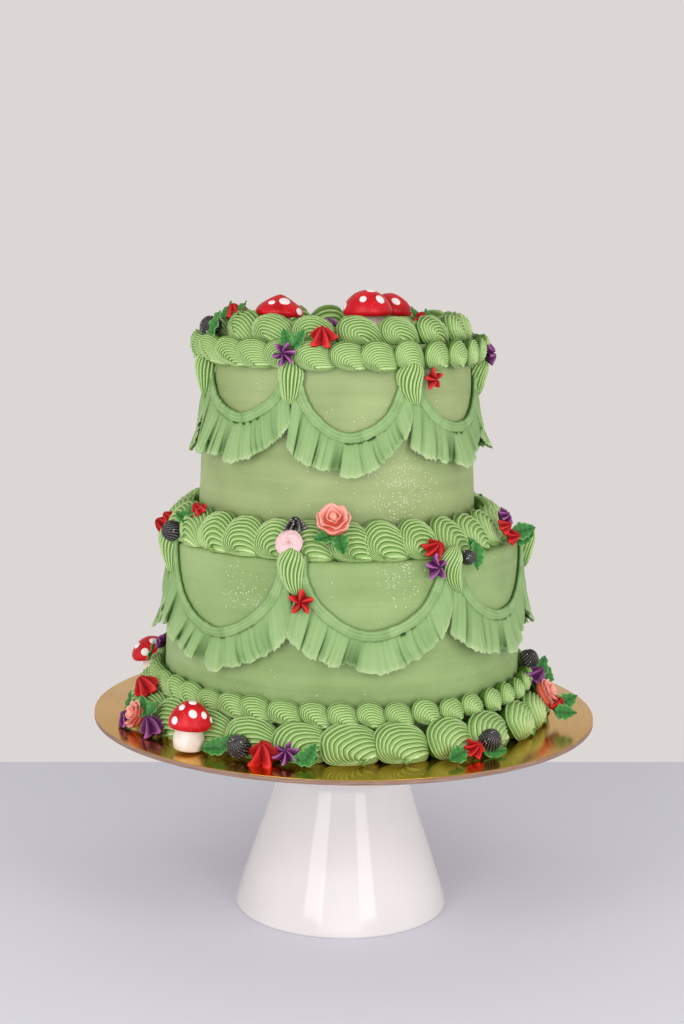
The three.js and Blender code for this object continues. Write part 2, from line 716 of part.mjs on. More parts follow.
const cream = material(BUTTERCREAM.color, BUTTERCREAM.roughness);
const frill = material(RUFFLE_CREAM.color, RUFFLE_CREAM.roughness);
addNode('lower_tier', geometryOf(tierSolid(LOWER)), cream.clone());
addNode('upper_tier', geometryOf(tierSolid(UPPER)), cream.clone());
addNode('base_rope', geometryOf(ropeRing(BASE_ROPE)), cream.clone());
addNode('base_shells', geometryOf(shellRing(BASE_SHELLS)), cream.clone());
addNode('ledge_shells', geometryOf(shellRing(LEDGE_SHELLS)), cream.clone());
addNode('side_rope', geometryOf(ropeRing(SIDE_ROPE)), cream.clone());
addNode('crown_shells', geometryOf(shellRing(CROWN_SHELLS)), cream.clone());
addNode('upper_cord', geometryOf(cordRing(UPPER_SWAGS)), cream.clone());
addNode('lower_cord', geometryOf(cordRing(LOWER_SWAGS)), cream.clone());
addNode('upper_ruffle', geometryOf(ruffleRing(UPPER_SWAGS)), frill.clone());
addNode('lower_ruffle', geometryOf(ruffleRing(LOWER_SWAGS)), frill.clone());

// What a later piece is pressed on, grown by the gap that it keeps.
const ledgeShells = shellRing(LEDGE_SHELLS, GAP);
const sideRope = ropeRing(SIDE_ROPE, GAP);
const supports = [
  tierSolid(LOWER, GAP), tierSolid(UPPER, GAP), shellRing(BASE_SHELLS, GAP), ropeRing(BASE_ROPE, GAP),
  ledgeShells, sideRope, shellRing(CROWN_SHELLS, GAP),
  cordRing(UPPER_SWAGS, GAP), cordRing(LOWER_SWAGS, GAP), ruffleRing(UPPER_SWAGS, GAP),
  ruffleRing(LOWER_SWAGS, GAP), solidOf(boardGeometry(GAP)),
];

[['upper', UPPER_SWAGS, sideRope], ['lower', LOWER_SWAGS, ledgeShells]].forEach(([level, swags, border]) => {
  for (let index = 0; index < SWAG_COUNT; index += 1) {
    const drop = seated(dropSolid(swags, index), [border]);
    supports.push(dropSolid(swags, index, GAP));
    addNode(`${level}_drop_${index + 1}`, geometryOf(drop), cream.clone());
  }
});

MUSHROOMS.forEach((mushroom) => {
  const { cap, stem } = mushroomSolids(mushroom);
  addNode(`mushroom_${mushroom.name}_cap`, geometryOf(seated(cap, supports)), material('#cf1529', 0.4));
  addNode(`mushroom_${mushroom.name}_stem`, geometryOf(seated(stem, supports)), material('#ecddd5', 0.5));
});

GROUPS.forEach(({ name, tier, pieces }) => {
  const group = largestPart(joined(pieces.map((piece) => pieceSolid(tier, piece))));
  addNode(name, geometryOf(group), material(COLOURS[pieces[0][1]], 0.5));
});

export default cake;
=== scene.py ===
"""Looks of the two-tier buttercream cake on its pedestal stand.

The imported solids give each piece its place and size. Here each one gets the fine form of piped
buttercream. Lengths are in millimetres in the functions and become metres in the meshes.
"""
import math

import bpy
import numpy as np
from mathutils import Matrix


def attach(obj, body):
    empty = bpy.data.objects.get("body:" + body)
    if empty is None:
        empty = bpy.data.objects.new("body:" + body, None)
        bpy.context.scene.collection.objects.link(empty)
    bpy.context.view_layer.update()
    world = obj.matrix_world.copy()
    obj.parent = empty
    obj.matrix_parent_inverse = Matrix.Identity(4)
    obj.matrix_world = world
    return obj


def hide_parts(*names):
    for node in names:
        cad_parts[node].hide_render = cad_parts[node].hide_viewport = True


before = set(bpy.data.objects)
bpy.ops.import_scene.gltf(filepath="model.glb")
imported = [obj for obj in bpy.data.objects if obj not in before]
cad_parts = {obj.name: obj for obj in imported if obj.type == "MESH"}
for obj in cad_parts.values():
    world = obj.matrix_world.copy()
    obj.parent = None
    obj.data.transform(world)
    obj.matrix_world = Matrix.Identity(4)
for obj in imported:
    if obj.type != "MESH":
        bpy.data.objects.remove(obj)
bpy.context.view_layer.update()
scene = bpy.context.scene
MM = 0.001

# Camera, fitted to the board and the tiers in the photograph

# The photograph's size in pixels, the focal length in them, the turns in radians and the place in
# millimetres.
PHOTO_WIDTH, PHOTO_HEIGHT = 684, 1024
FOCAL_PIXELS = 1800.0
YAW, PITCH, ROLL = 0.0029582, 0.154179, 0.0172215
CAMERA_PLACE = np.array([0.0, -1079.15, 413.81])
SENSOR_HEIGHT = 36.0


def camera_axes():
    """Right, up and view directions: yaw about Z, then pitch down, then roll about the view."""
    right = np.array([math.cos(YAW), math.sin(YAW), 0.0])
    level = np.array([-math.sin(YAW), math.cos(YAW), 0.0])
    rise = np.array([0.0, 0.0, 1.0])
    ahead = math.cos(PITCH) * level - math.sin(PITCH) * rise
    up = math.sin(PITCH) * level + math.cos(PITCH) * rise
    turned_right = math.cos(ROLL) * right + math.sin(ROLL) * up
    turned_up = -math.sin(ROLL) * right + math.cos(ROLL) * up
    return turned_right, turned_up, ahead


def make_camera():
    """A long portrait lens in front of the cake, a little above its top."""
    right, up, ahead = camera_axes()
    lens = bpy.data.cameras.new("camera")
    lens.sensor_fit = "VERTICAL"
    lens.sensor_height = SENSOR_HEIGHT
    lens.lens = FOCAL_PIXELS / PHOTO_HEIGHT * SENSOR_HEIGHT
    lens.clip_start, lens.clip_end = 0.05, 20.0
    camera = bpy.data.objects.new("camera", lens)
    rows = np.eye(4)
    rows[:3, 0], rows[:3, 1], rows[:3, 2] = right, up, -ahead
    rows[:3, 3] = CAMERA_PLACE * MM
    camera.matrix_world = Matrix(rows.tolist())
    scene.collection.objects.link(camera)
    scene.camera = camera


def on_table(across, down):
    """The point of the table plane seen at a pixel, from the camera's ray."""
    right, up, ahead = camera_axes()
    ray = ahead + right * (across - PHOTO_WIDTH / 2) / FOCAL_PIXELS
    ray = ray - up * (down - PHOTO_HEIGHT / 2) / FOCAL_PIXELS
    return CAMERA_PLACE - ray * CAMERA_PLACE[2] / ray[2]


make_camera()

# Sizes, as in the solids

# The stand's foot, neck and head are outer radii. Its foot is hollow up to HOLLOW_Z.
STAND_HEIGHT = 122.0
FOOT_RADIUS, NECK_RADIUS, NECK_Z = 65.4, 39.0, 84.0
HEAD_RADIUS, HEAD_Z = 77.0, 96.0
STAND_WALL, HOLLOW_Z = 6.0, 70.0
BOARD_RADIUS, BOARD_TOP = 152.4, 125.0
FOIL_THICKNESS = 0.35
# The thin gap under what stands on the stand or on the icing.
SEAT_GAP = 0.35

# Tiers: where the axis is from left to right, heights, and the radii of the wall at its foot and
# rim. The crown stands a little off the upper tier's middle.
LOWER = dict(centre=-1.8, bottom=125.0, top=234.0, foot=108.5, rim=105.5, rounding=3.0)
UPPER = dict(centre=-6.4, bottom=234.0, top=352.0, foot=84.0, rim=78.5, rounding=3.0)
CROWN_TIER = dict(UPPER, centre=-4.9)

# Borders: the number of shells, the ring they stand on, the lift of a shell's face, its half
# length, half height and depth, its slant, what it stays above and the first one's azimuth. Then
# come the ridges over the swirl's upper side, mesh rows to a ridge, mesh columns round a shell
# and the depth of the grooves. Square makes the lower half squarer. The swirl's eye and the end
# of its tail are in parts of the half length and half height. Turn tucks the tail in, taper and
# droop narrow and lower it, and skew makes the head fuller, or below 0 the tail. Back is the
# number of ridges on the side that faces the middle, or 0 where that side doesn't show.
BASE_SHELLS = dict(
    tier=LOWER, count=26, radius=117.0, z=134.4, lift=30.0, wide=17.8, tall=13.2, deep=11.4,
    slant=-5.0, floor=BOARD_TOP, first=3.0, ridges=9, rows=6, columns=58, groove=2.6, square=3.4,
    eye=(0.3, -0.92), tail=(0.97, -0.35), turn=0.14, taper=0.08, droop=0.05, skew=-0.1, back=0,
)
BASE_ROPE = dict(
    tier=LOWER, count=44, radius=111.4, z=149.6, lift=14.0, wide=11.2, tall=7.8, deep=6.8,
    slant=-16.0, floor=0.0, first=1.0, ridges=9, rows=5, columns=42, groove=1.3, square=2.6,
    eye=(0.3, -0.8), tail=(0.95, -0.35), turn=0.2, taper=0.2, droop=0.12, skew=0.1, back=0,
)
LEDGE_SHELLS = dict(
    tier=UPPER, count=29, radius=92.6, z=242.3, lift=40.0, wide=16.4, tall=14.8, deep=10.0,
    slant=-27.0, floor=LOWER["top"], first=5.0, ridges=9, rows=5, columns=62, groove=3.3, square=2.8,
    eye=(0.3, -0.84), tail=(0.97, -0.35), turn=0.12, taper=0.3, droop=0.12, skew=-0.15, back=0,
)
SIDE_ROPE = dict(
    tier=UPPER, count=29, radius=81.8, z=346.4, lift=0.0, wide=13.8, tall=9.4, deep=7.4,
    slant=-17.0, floor=0.0, first=4.0, ridges=11, rows=5, columns=56, groove=2.0, square=2.4,
    eye=(0.2, -0.74), tail=(0.95, -0.4), turn=0.18, taper=0.25, droop=0.14, skew=0.1, back=0,
)
CROWN_SHELLS = dict(
    tier=CROWN_TIER, count=18, radius=67.4, z=357.2, lift=25.0, wide=14.4, tall=11.4, deep=10.4,
    slant=-12.0, floor=UPPER["top"], first=8.0, ridges=8, rows=5, columns=72, groove=2.5, square=2.4,
    eye=(-0.05, -0.5), tail=(0.8, -0.8), turn=0.16, taper=0.08, droop=0.1, skew=0.05, back=5,
)

# How a hand strays from one shell to the next: along the row in parts of the pitch, in size, in
# height and in slant by degrees. The side that faces the middle is flatter, by BACK_DEPTH.
SHELL_SHIFT, SHELL_SWELL, SHELL_STRETCH, SHELL_SLANT = 0.08, 0.07, 0.06, 8.0
BACK_DEPTH = 0.8
# Painted highlight and shade across a flute, from one crest (0) to the next (1).
VALLEY_PLACES, FLUTE_PAINTED_LIGHT = [0.0, 0.2, 0.5, 0.8, 0.9, 1.0], [1.0, 0.6, 0.4, 0.02, 0.15, 1.0]

# Swags: the height the cords hang from, the heights of each hem's ends, the drops' azimuths, how
# far each cord sags, the lowest point of each hem, the scallops of its two halves, how far each
# drop's tip is flicked sideways, and a drop's half width and half height.
UPPER_SWAGS = dict(
    tier=UPPER, hung=334.6, left_end=297.0, right_ends=(313.0, 320.0, 316.0, 315.0, 318.0, 314.0, 317.0),
    drops=(-68.8, -18.7, 29.6, 85.8, 137.2, 188.5, 239.9),
    cord_sags=(25.5, 34.0, 31.0, 31.0, 34.0, 30.0, 32.0),
    hems=(286.5, 281.5, 284.5, 284.5, 282.0, 286.0, 284.0), curves=(1.4, 1.75),
    flicks=(-2.0, -1.0, 3.5, 4.0, 2.0, -2.5, 3.0), drop_size=(8.0, 12.4),
)
LOWER_SWAGS = dict(
    tier=LOWER, hung=232.5, left_end=195.0, right_ends=(206.0, 217.0, 212.0, 210.0, 214.0, 209.0, 213.0),
    drops=(-69.2, -15.0, 33.9, 84.0, 135.7, 187.4, 239.1),
    cord_sags=(43.5, 39.0, 36.0, 40.0, 39.0, 41.0, 38.0),
    hems=(172.0, 175.5, 176.5, 174.5, 175.5, 173.5, 176.0), curves=(1.4, 2.1),
    flicks=(4.5, 3.0, 6.0, 6.0, -3.0, 3.0, -2.0), drop_size=(7.6, 13.4),
)
# A cord reaches over this part of the way between its drops, along a scallop of this curve. The
# radius is that of the solid, which the ruffles and drops are set from. The oval that is drawn
# for it is given by its half width, the height of its middle off the wall and its half depth.
CORD_SPAN, CORD_CURVE, CORD_RADIUS = 0.89, 1.85, 2.7
CORD_HALF_WIDTH, CORD_MIDDLE, CORD_HALF_DEPTH = 3.1, 1.5, 1.9
# How deep a drop is, how far below the cord's ends its middle hangs, its ridges to either side
# and the depth of its grooves in parts of its size.
DROP_DEEP, DROP_BELOW, DROP_RIDGES, DROP_GROOVE = 7.4, 4.2, 9, 0.16
# How thick a ruffle is at the cord and at its hem.
RUFFLE_EDGE, RUFFLE_HEM = 1.6, 0.8
# Pleats of a ruffle from left to right: width, height and how sharp the crease is before each.
PLEAT_WIDTHS = np.array([9.0, 15.0, 7.0, 8.0, 6.5, 11.0, 10.0, 4.0, 5.0, 4.0, 5.0, 4.0, 11.0])
PLEAT_HEIGHTS = np.array([4.8, 7.2, 4.6, 4.6, 0.4, 5.2, 3.8, 1.8, 1.8, 1.5, 1.5, 1.3, 3.0])
PLEAT_CREASES = np.array([0.2, 1.0, 1.0, 0.8, 1.0, 1.0, 0.3, 1.0, 0.7, 0.8, 0.6, 0.8, 1.0, 0.3])

# Mushrooms: the ring and the height they stand on, the cap's radius and height, the stem's radius
# and height, the lean in degrees, how far the cap is from a dome (0) to a cone (1), and its dots as
# azimuth, angle from the cap's top and radius.
MUSHROOMS = {
    "top_left": dict(
        tier=UPPER, azimuth=-45, radius=50, base=352, cap=13.8, high=10.8, stem=7.5, tall=14.4, tilt=3,
        peak=0.75,
        dots=((-30, 50, 2.0), (22, 38, 3.4), (58, 80, 2.4), (150, 50, 3.0), (-110, 60, 2.6)),
    ),
    "top_middle": dict(
        tier=UPPER, azimuth=24.2, radius=40.5, base=352, cap=14.2, high=13.2, stem=8, tall=15.6, tilt=-2,
        peak=0.1,
        dots=((-14, 50, 2.2), (40, 14, 2.7), (42, 52, 2.9), (-75, 72, 2.4), (170, 48, 3.0)),
    ),
    "top_right": dict(
        tier=UPPER, azimuth=74, radius=29, base=352, cap=13.4, high=11, stem=7.5, tall=15, tilt=5,
        peak=0.3,
        dots=((18, 50, 2.8), (-30, 58, 2.5), (95, 60, 2.6), (185, 45, 3.0), (-80, 70, 2.4)),
    ),
    "base_left": dict(
        tier=LOWER, azimuth=-115.5, radius=132.5, base=125, cap=13, high=11.5, stem=7.5, tall=16,
        tilt=-12, peak=0.2,
        dots=((-12, 68, 2.7), (30, 34, 2.6), (-60, 45, 2.4), (-120, 60, 2.8), (140, 55, 2.6)),
    ),
    "base_front": dict(
        tier=LOWER, azimuth=-39.2, radius=134.5, base=125.6, cap=12.2, high=13.6, stem=8.3,
        tall=14.4, tilt=4, peak=0.2,
        dots=(
            (12, 50, 2.5), (-44, 74, 2.3), (54, 56, 2.2), (20, 12, 2.2), (-44, 36, 2.0), (84, 74, 1.9),
            (150, 50, 2.6),
        ),
    ),
}

# Toppings of each cluster, with the tier whose axis they go round: kind, colour, azimuth, ring
# radius, height, lift of the face, turn about it, width, and for some a swing of the face round
# the upright. Angles are in degrees.
TOPPINGS = {
    "top_left_toppings": (UPPER, (
        ("dollop", "dark", -69.5, 78.5, 357, 38, 0, 14),
        ("leaf", "leaf", -60, 80.5, 359.5, 25, 68, 17),
        ("bud", "red", -60, 70, 367, 70, 20, 12),
        ("leaf", "leaf", -55, 69, 368, 50, 70, 12),
        ("leaf", "leaf", -67, 70, 367, 50, 110, 12),
    )),
    "top_front_left_toppings": (UPPER, (
        ("star", "purple", -19, 90.5, 346.8, 10, 10, 14),
        ("leaf", "leaf", -19.6, 86, 355, 30, 112, 11),
        ("leaf", "leaf", -14.6, 86, 355, 30, 60, 11),
    )),
    "top_front_toppings": (UPPER, (
        ("bud", "red", -6, 84.5, 356.5, 50, 0, 16),
    )),
    "top_inner_toppings": (UPPER, (
        ("star", "purple", -7, 54, 361, 70, 0, 13),
        ("leaf", "leaf", -13, 53, 361, 60, 120, 10),
    )),
    "top_back_right_toppings": (UPPER, (
        ("bud", "red", 48, 62, 365, 60, 15, 11),
        ("leaf", "leaf", 45, 60, 367.5, 40, 105, 9),
        ("leaf", "leaf", 50.5, 64, 366.5, 40, 80, 9),
    )),
    "top_right_toppings": (UPPER, (
        ("star", "purple", 84, 88.5, 344, 10, 0, 14.5),
    )),
    "upper_drop_toppings": (UPPER, (
        ("star", "red", 38.6, 85, 333, 0, 20, 13),
    )),
    "top_back_toppings": (UPPER, (
        ("rose", "coral", 164, 83, 358, 38, 0, 16),
        ("leaf", "leaf", 155, 86, 355, 30, 150, 12),
        ("dollop", "dark", 174, 84, 357, 36, 0, 12),
    )),
    "ledge_left_toppings": (LOWER, (
        ("dollop", "dark", -66.8, 107.5, 239, 30, 0, 13.5),
        ("bud", "red", -83, 109, 238.5, 30, 0, 12.5),
        ("bud", "red", -78.5, 106.5, 244.5, 40, 0, 9),
        ("leaf", "leaf", -64, 103, 247.5, 55, 172, 13, 25),
        ("leaf", "leaf", -59.5, 99.5, 253.5, 45, 40, 12, 25),
        ("bud", "red", -58.5, 98.5, 253.8, 50, 0, 11),
    )),
    "ledge_front_left_toppings": (LOWER, (
        ("bud", "dark", -15.9, 98.5, 252, 75, 0, 13),
        ("rosette", "pink", -16.2, 106, 243.4, 30, 0, 16),
    )),
    "ledge_front_toppings": (LOWER, (
        ("rose", "coral", -3.2, 98.5, 255, 42, 0, 17.5),
        ("leaf", "leaf", -5.7, 105, 247.5, 35, 205, 12),
        ("leaf", "leaf", -0.6, 106.5, 243.8, 30, 285, 13),
    )),
    "ledge_front_right_toppings": (LOWER, (
        ("bud", "red", 28.6, 105.5, 240.8, 40, 0, 15),
        ("star", "purple", 27.8, 110, 231.3, 5, 15, 15),
    )),
    "ledge_right_toppings": (LOWER, (
        ("dollop", "dark", 39.8, 108.5, 234.6, 5, 0, 9.5),
        ("leaf", "leaf", 42.2, 109.5, 234.6, 10, 250, 16),
        ("leaf", "leaf", 42.5, 106, 240.5, 20, 130, 11),
    )),
    "ledge_far_right_toppings": (LOWER, (
        ("star", "purple", 66, 102, 250.5, 40, 0, 13),
        ("bud", "red", 63, 104.5, 246.3, 30, 20, 10.5),
        ("bud", "red", 66.5, 107, 240, 15, 340, 11),
        ("leaf", "leaf", 69, 112, 243, 20, 10, 14, -48),
        ("leaf", "leaf", 70, 112.5, 239, 20, 25, 12, -48),
    )),
    "lower_drop_toppings": (LOWER, (
        ("star", "red", -11.5, 111.8, 213, 0, 12, 14.5),
    )),
    "ledge_back_left_toppings": (LOWER, (
        ("rosette", "pink", -142, 104, 245, 30, 0, 15),
        ("dollop", "dark", -133.5, 103, 246, 38, 0, 12),
        ("leaf", "leaf", -149, 103, 247, 45, 140, 13),
    )),
    "ledge_back_right_toppings": (LOWER, (
        ("bud", "red", 133, 104, 245, 35, 0, 14),
        ("star", "purple", 140, 104, 245, 35, 15, 14),
        ("leaf", "leaf", 126, 104, 246, 38, 175, 13),
    )),
    "base_back_left_toppings": (LOWER, (
        ("star", "purple", -98, 112.5, 160, 30, 0, 12),
        ("leaf", "leaf", -87, 115, 159, 30, 70, 13),
    )),
    "base_left_toppings": (LOWER, (
        ("bud", "red", -67.5, 124, 146.5, 55, 0, 18),
        ("rose", "coral", -63.5, 132, 132.5, 25, 0, 15),
        ("bud", "purple", -54.8, 132, 130.5, 60, 10, 17.5),
        ("bud", "purple", -65.5, 137, 129.5, 60, 0, 13.5),
        ("leaf", "leaf", -56, 129, 139.5, 30, 45, 14),
        ("leaf", "leaf", -61.5, 129, 139, 30, 140, 14),
        ("leaf", "leaf", -75, 129.5, 134.5, 30, 120, 12),
    )),
    "base_front_left_toppings": (LOWER, (
        ("leaf", "leaf", -31.5, 132, 129.5, 35, 200, 15),
        ("leaf", "leaf", -28.5, 130, 133.5, 35, 60, 11),
        ("dollop", "dark", -25.2, 129.5, 131.5, 45, 0, 14.5),
        ("bud", "red", -18.4, 131.5, 129.8, 60, 0, 20),
        ("star", "purple", -12.8, 131, 131, 45, 20, 15),
        ("leaf", "leaf", -8.4, 132, 129.5, 30, 195, 14),
        ("leaf", "leaf", -7, 131, 132.5, 30, 60, 12),
    )),
    "base_front_right_toppings": (LOWER, (
        ("leaf", "leaf", 28.4, 134.5, 129, 35, 200, 14),
        ("bud", "red", 34.2, 132.8, 131.6, 40, 0, 13),
        ("dollop", "dark", 40.2, 129.5, 132.5, 40, 0, 14),
        ("leaf", "leaf", 40.5, 132.5, 127.5, 25, 345, 14),
    )),
    "base_right_toppings": (LOWER, (
        ("dollop", "dark", 82, 112.8, 159.8, 30, 0, 13),
        ("bud", "purple", 80, 118.5, 151, 50, 10, 15.5),
        ("rose", "coral", 76.5, 124.5, 142, 30, 0, 16),
        ("bud", "red", 76.5, 131.5, 136.5, 50, 0, 13.5),
        ("leaf", "leaf", 84, 121, 155, 30, 55, 14, -50),
        ("leaf", "leaf", 84.5, 124.5, 149.5, 30, 75, 13, -50),
        ("leaf", "leaf", 77.5, 137.5, 138, 25, 20, 15, -52),
        ("leaf", "leaf", 74, 138.5, 133.5, 25, 350, 13, -52),
    )),
    "base_back_toppings": (LOWER, (
        ("rose", "coral", 151, 131, 137, 35, 0, 16),
        ("bud", "red", 143.8, 131, 135, 35, 0, 14),
        ("dollop", "dark", 158, 130, 136, 35, 0, 13),
        ("leaf", "leaf", 164, 130, 134, 35, 10, 14),
    )),
}

# Helpers of every form


def uneven(item, trait):
    """A repeatable number from -1 to 1: twice the fraction of a large sine, less 1."""
    wave = np.sin(np.asarray(item) * 12.9898 + trait * 78.233) * 43758.5453
    return 2 * (wave - np.floor(wave)) - 1


def facing(azimuth, lift=0.0):
    """Right, outward and up directions at an azimuth, with the face lifted above level."""
    turn, raised = math.radians(azimuth), math.radians(lift)
    level = np.array([math.sin(turn), -math.cos(turn), 0.0])
    right = np.array([math.cos(turn), math.sin(turn), 0.0])
    out = level * math.cos(raised) + np.array([0, 0, math.sin(raised)])
    up = -level * math.sin(raised) + np.array([0, 0, math.cos(raised)])
    return right, out, up


def on_ring(tier, azimuth, radius, z):
    """Points on circles about the tier's axis: (centre + r sin a, -r cos a, z)."""
    turn = np.radians(azimuth)
    x, y, z = np.broadcast_arrays(tier["centre"] + radius * np.sin(turn), -radius * np.cos(turn), z)
    return np.stack([x, y, z], -1).astype(float)


def wall_radius(tier, z):
    """The wall's radius at a height, straight from foot to rim."""
    rise = np.clip((z - tier["bottom"]) / (tier["top"] - tier["bottom"]), 0, 1)
    return tier["foot"] + (tier["rim"] - tier["foot"]) * rise


def clear_of(tier, floor, points, gap=0.15):
    """Lifts points off the floor. Where that is below the tier's top it also moves them out of the
    tier's wall, which goes on upwards at the rim."""
    points = points.copy()
    if floor < tier["top"]:
        x, y = points[..., 0] - tier["centre"], points[..., 1]
        radius = np.hypot(x, y)
        scale = np.maximum(radius, wall_radius(tier, points[..., 2]) + gap) / np.maximum(radius, 1)
        points[..., 0] = tier["centre"] + x * scale
        points[..., 1] = y * scale
    points[..., 2] = np.maximum(points[..., 2], floor + gap)
    return points


def smooth_line(corners, count):
    """A cubic curve through the corners, at count even steps of its parameter. Its slope at each
    corner is half the step between the corner's neighbours."""
    corners = np.asarray(corners, float)
    ends = np.vstack([2 * corners[0] - corners[1], corners, 2 * corners[-1] - corners[-2]])
    place = np.linspace(0, len(corners) - 1, count)
    index = np.minimum(place.astype(int), len(corners) - 2)
    t = (place - index)[:, None]
    a, b, c, d = ends[index], ends[index + 1], ends[index + 2], ends[index + 3]
    return 0.5 * (2 * b + (c - a) * t + (2 * a - 5 * b + 4 * c - d) * t**2 + (3 * b - a - 3 * c + d) * t**3)


def rounded(corners, cut):
    """A polyline whose inner corners give way to quadratic curves that begin and end cut mm off,
    though at most 0.45 of the shorter side: (1-t)^2 a + 2 t (1-t) corner + t^2 b."""
    corners = np.asarray(corners, float)
    before, corner, after = corners[:-2], corners[1:-1], corners[2:]
    near = np.linalg.norm(before - corner, axis=1, keepdims=True)
    far = np.linalg.norm(after - corner, axis=1, keepdims=True)
    size = np.minimum(np.reshape(np.broadcast_to(cut, len(corner)), (-1, 1)), 0.45 * np.minimum(near, far))
    a = corner + (before - corner) * size / near
    b = corner + (after - corner) * size / far
    t = np.linspace(0, 1, 6)[None, :, None]
    curves = (1 - t) ** 2 * a[:, None] + 2 * t * (1 - t) * corner[:, None] + t**2 * b[:, None]
    return np.vstack([corners[:1], curves.reshape(-1, 2), corners[-1:]])


def round_angles(count):
    """Even angles round a full circle, as one row."""
    return 2 * np.pi * np.arange(count)[None, :] / count


def two_sides(low, high, count):
    """Even steps from low to high on a sheet's upper side and back on its lower one, in one row,
    with 1 for the upper side and -1 for the lower."""
    steps = np.concatenate([np.linspace(low, high, count), np.linspace(high, low, count)])
    side = np.concatenate([np.ones(count), -np.ones(count)])
    return steps[None, :], side[None, :]


def skin(grid, painted_light_and_tone=0.5, start="pole", end="pole"):
    """A closed skin over a grid of points whose columns close on themselves.

    An end row closes on its middle point (pole), or by a strip that joins its two mirrored halves
    (slit). The faces are turned outward by the sign of the volume, the sum of a . (b x c) over the
    triangles. Painted light and tone stays with each point, from 0, painted shade as in a groove, to 1,
    a painted highlight as on a crest, and the finishes colour the icing by it.
    """
    rows, columns = grid.shape[:2]
    painted_light_and_tone = np.broadcast_to(painted_light_and_tone, grid.shape[:2]).reshape(-1)
    points = grid.reshape(-1, 3)
    row, column = np.meshgrid(np.arange(rows - 1), np.arange(columns), indexing="ij")
    here, below = row * columns, (row + 1) * columns
    beside = (column + 1) % columns
    corners = (here + column, below + column, below + beside, here + beside)
    quads = [np.stack(corners, -1).reshape(-1, 4)]
    fans = []
    for close, at, turned in ((start, 0, False), (end, rows - 1, True)):
        edge = at * columns + np.arange(columns)
        if close == "slit":
            half = np.arange(columns // 2 - 1)
            mirror = columns - 1 - half
            strip = np.stack([edge[half], edge[half + 1], edge[mirror - 1], edge[mirror]], -1)
            quads.append(strip[:, ::-1] if turned else strip)
        else:
            pole = np.full(columns, len(points))
            points = np.vstack([points, points[edge].mean(0)])
            painted_light_and_tone = np.append(painted_light_and_tone, painted_light_and_tone[edge].mean())
            fan = np.stack([pole, edge, np.roll(edge, -1)], -1)
            fans.append(fan[:, ::-1] if turned else fan)
    quads = np.concatenate(quads)
    fans = np.concatenate(fans) if fans else np.zeros((0, 3), int)
    triangles = np.concatenate([quads[:, :3], quads[:, [0, 2, 3]], fans])
    a, b, c = (points[triangles[:, i]] - points.mean(0) for i in range(3))
    if np.einsum("ij,ij->i", a, np.cross(b, c)).sum() < 0:
        quads, fans = quads[:, ::-1], fans[:, ::-1]
    return points, quads, fans, painted_light_and_tone


def piece(name, skins, finish, slot, *nodes):
    """One mesh object from closed skins, riding on the cake, in place of the named solids."""
    points, quads, fans, painted_light_and_tone, offset = [], [], [], [], 0
    for skin_points, skin_quads, skin_fans, skin_ridge in skins:
        points.append(skin_points)
        quads.append(skin_quads + offset)
        fans.append(skin_fans + offset)
        painted_light_and_tone.append(skin_ridge)
        offset += len(skin_points)
    points, quads = np.concatenate(points) * MM, np.concatenate(quads)
    fans, painted_light_and_tone = np.concatenate(fans), np.concatenate(painted_light_and_tone)
    loops = np.concatenate([quads.ravel(), fans.ravel()])
    starts = np.concatenate([np.arange(len(quads)) * 4, len(quads) * 4 + np.arange(len(fans)) * 3])
    mesh = bpy.data.meshes.new(name)
    mesh.vertices.add(len(points))
    mesh.vertices.foreach_set("co", points.astype(np.float32).ravel())
    mesh.loops.add(len(loops))
    mesh.loops.foreach_set("vertex_index", loops.astype(np.int32))
    mesh.polygons.add(len(starts))
    mesh.polygons.foreach_set("loop_start", starts.astype(np.int32))
    mesh.polygons.foreach_set("use_smooth", np.ones(len(starts), bool))
    mesh.update(calc_edges=True)
    mesh.validate()
    mesh.attributes.new("painted_light_and_tone", "FLOAT", "POINT").data.foreach_set("value", painted_light_and_tone.astype(np.float32))
    mesh.materials.append(finish)
    made = bpy.data.objects.new(name, mesh)
    scene.collection.objects.link(made)
    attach(made, "root")
    if nodes:
        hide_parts(*nodes)


# Borders


def normals_of(grid):
    """Unit normals of a grid closed across its columns, from the cross product of its steps."""
    along = np.gradient(grid, axis=0)
    across = (np.roll(grid, -1, 1) - np.roll(grid, 1, 1)) / 2
    normal = np.cross(along, across)
    return normal / np.maximum(np.linalg.norm(normal, axis=-1, keepdims=True), 1e-9)


def squared(angle, power):
    """The edge of an oval at an angle, (|cos|^n + |sin|^n) ^ (-1 / n): n is 2 in its upper half
    and grows to power at its lowest point, which makes the lower half squarer."""
    n = 2 + (power - 2) * np.clip(-np.sin(angle), 0, 1)
    return (np.abs(np.cos(angle)) ** n + np.abs(np.sin(angle)) ** n) ** (-1 / n)


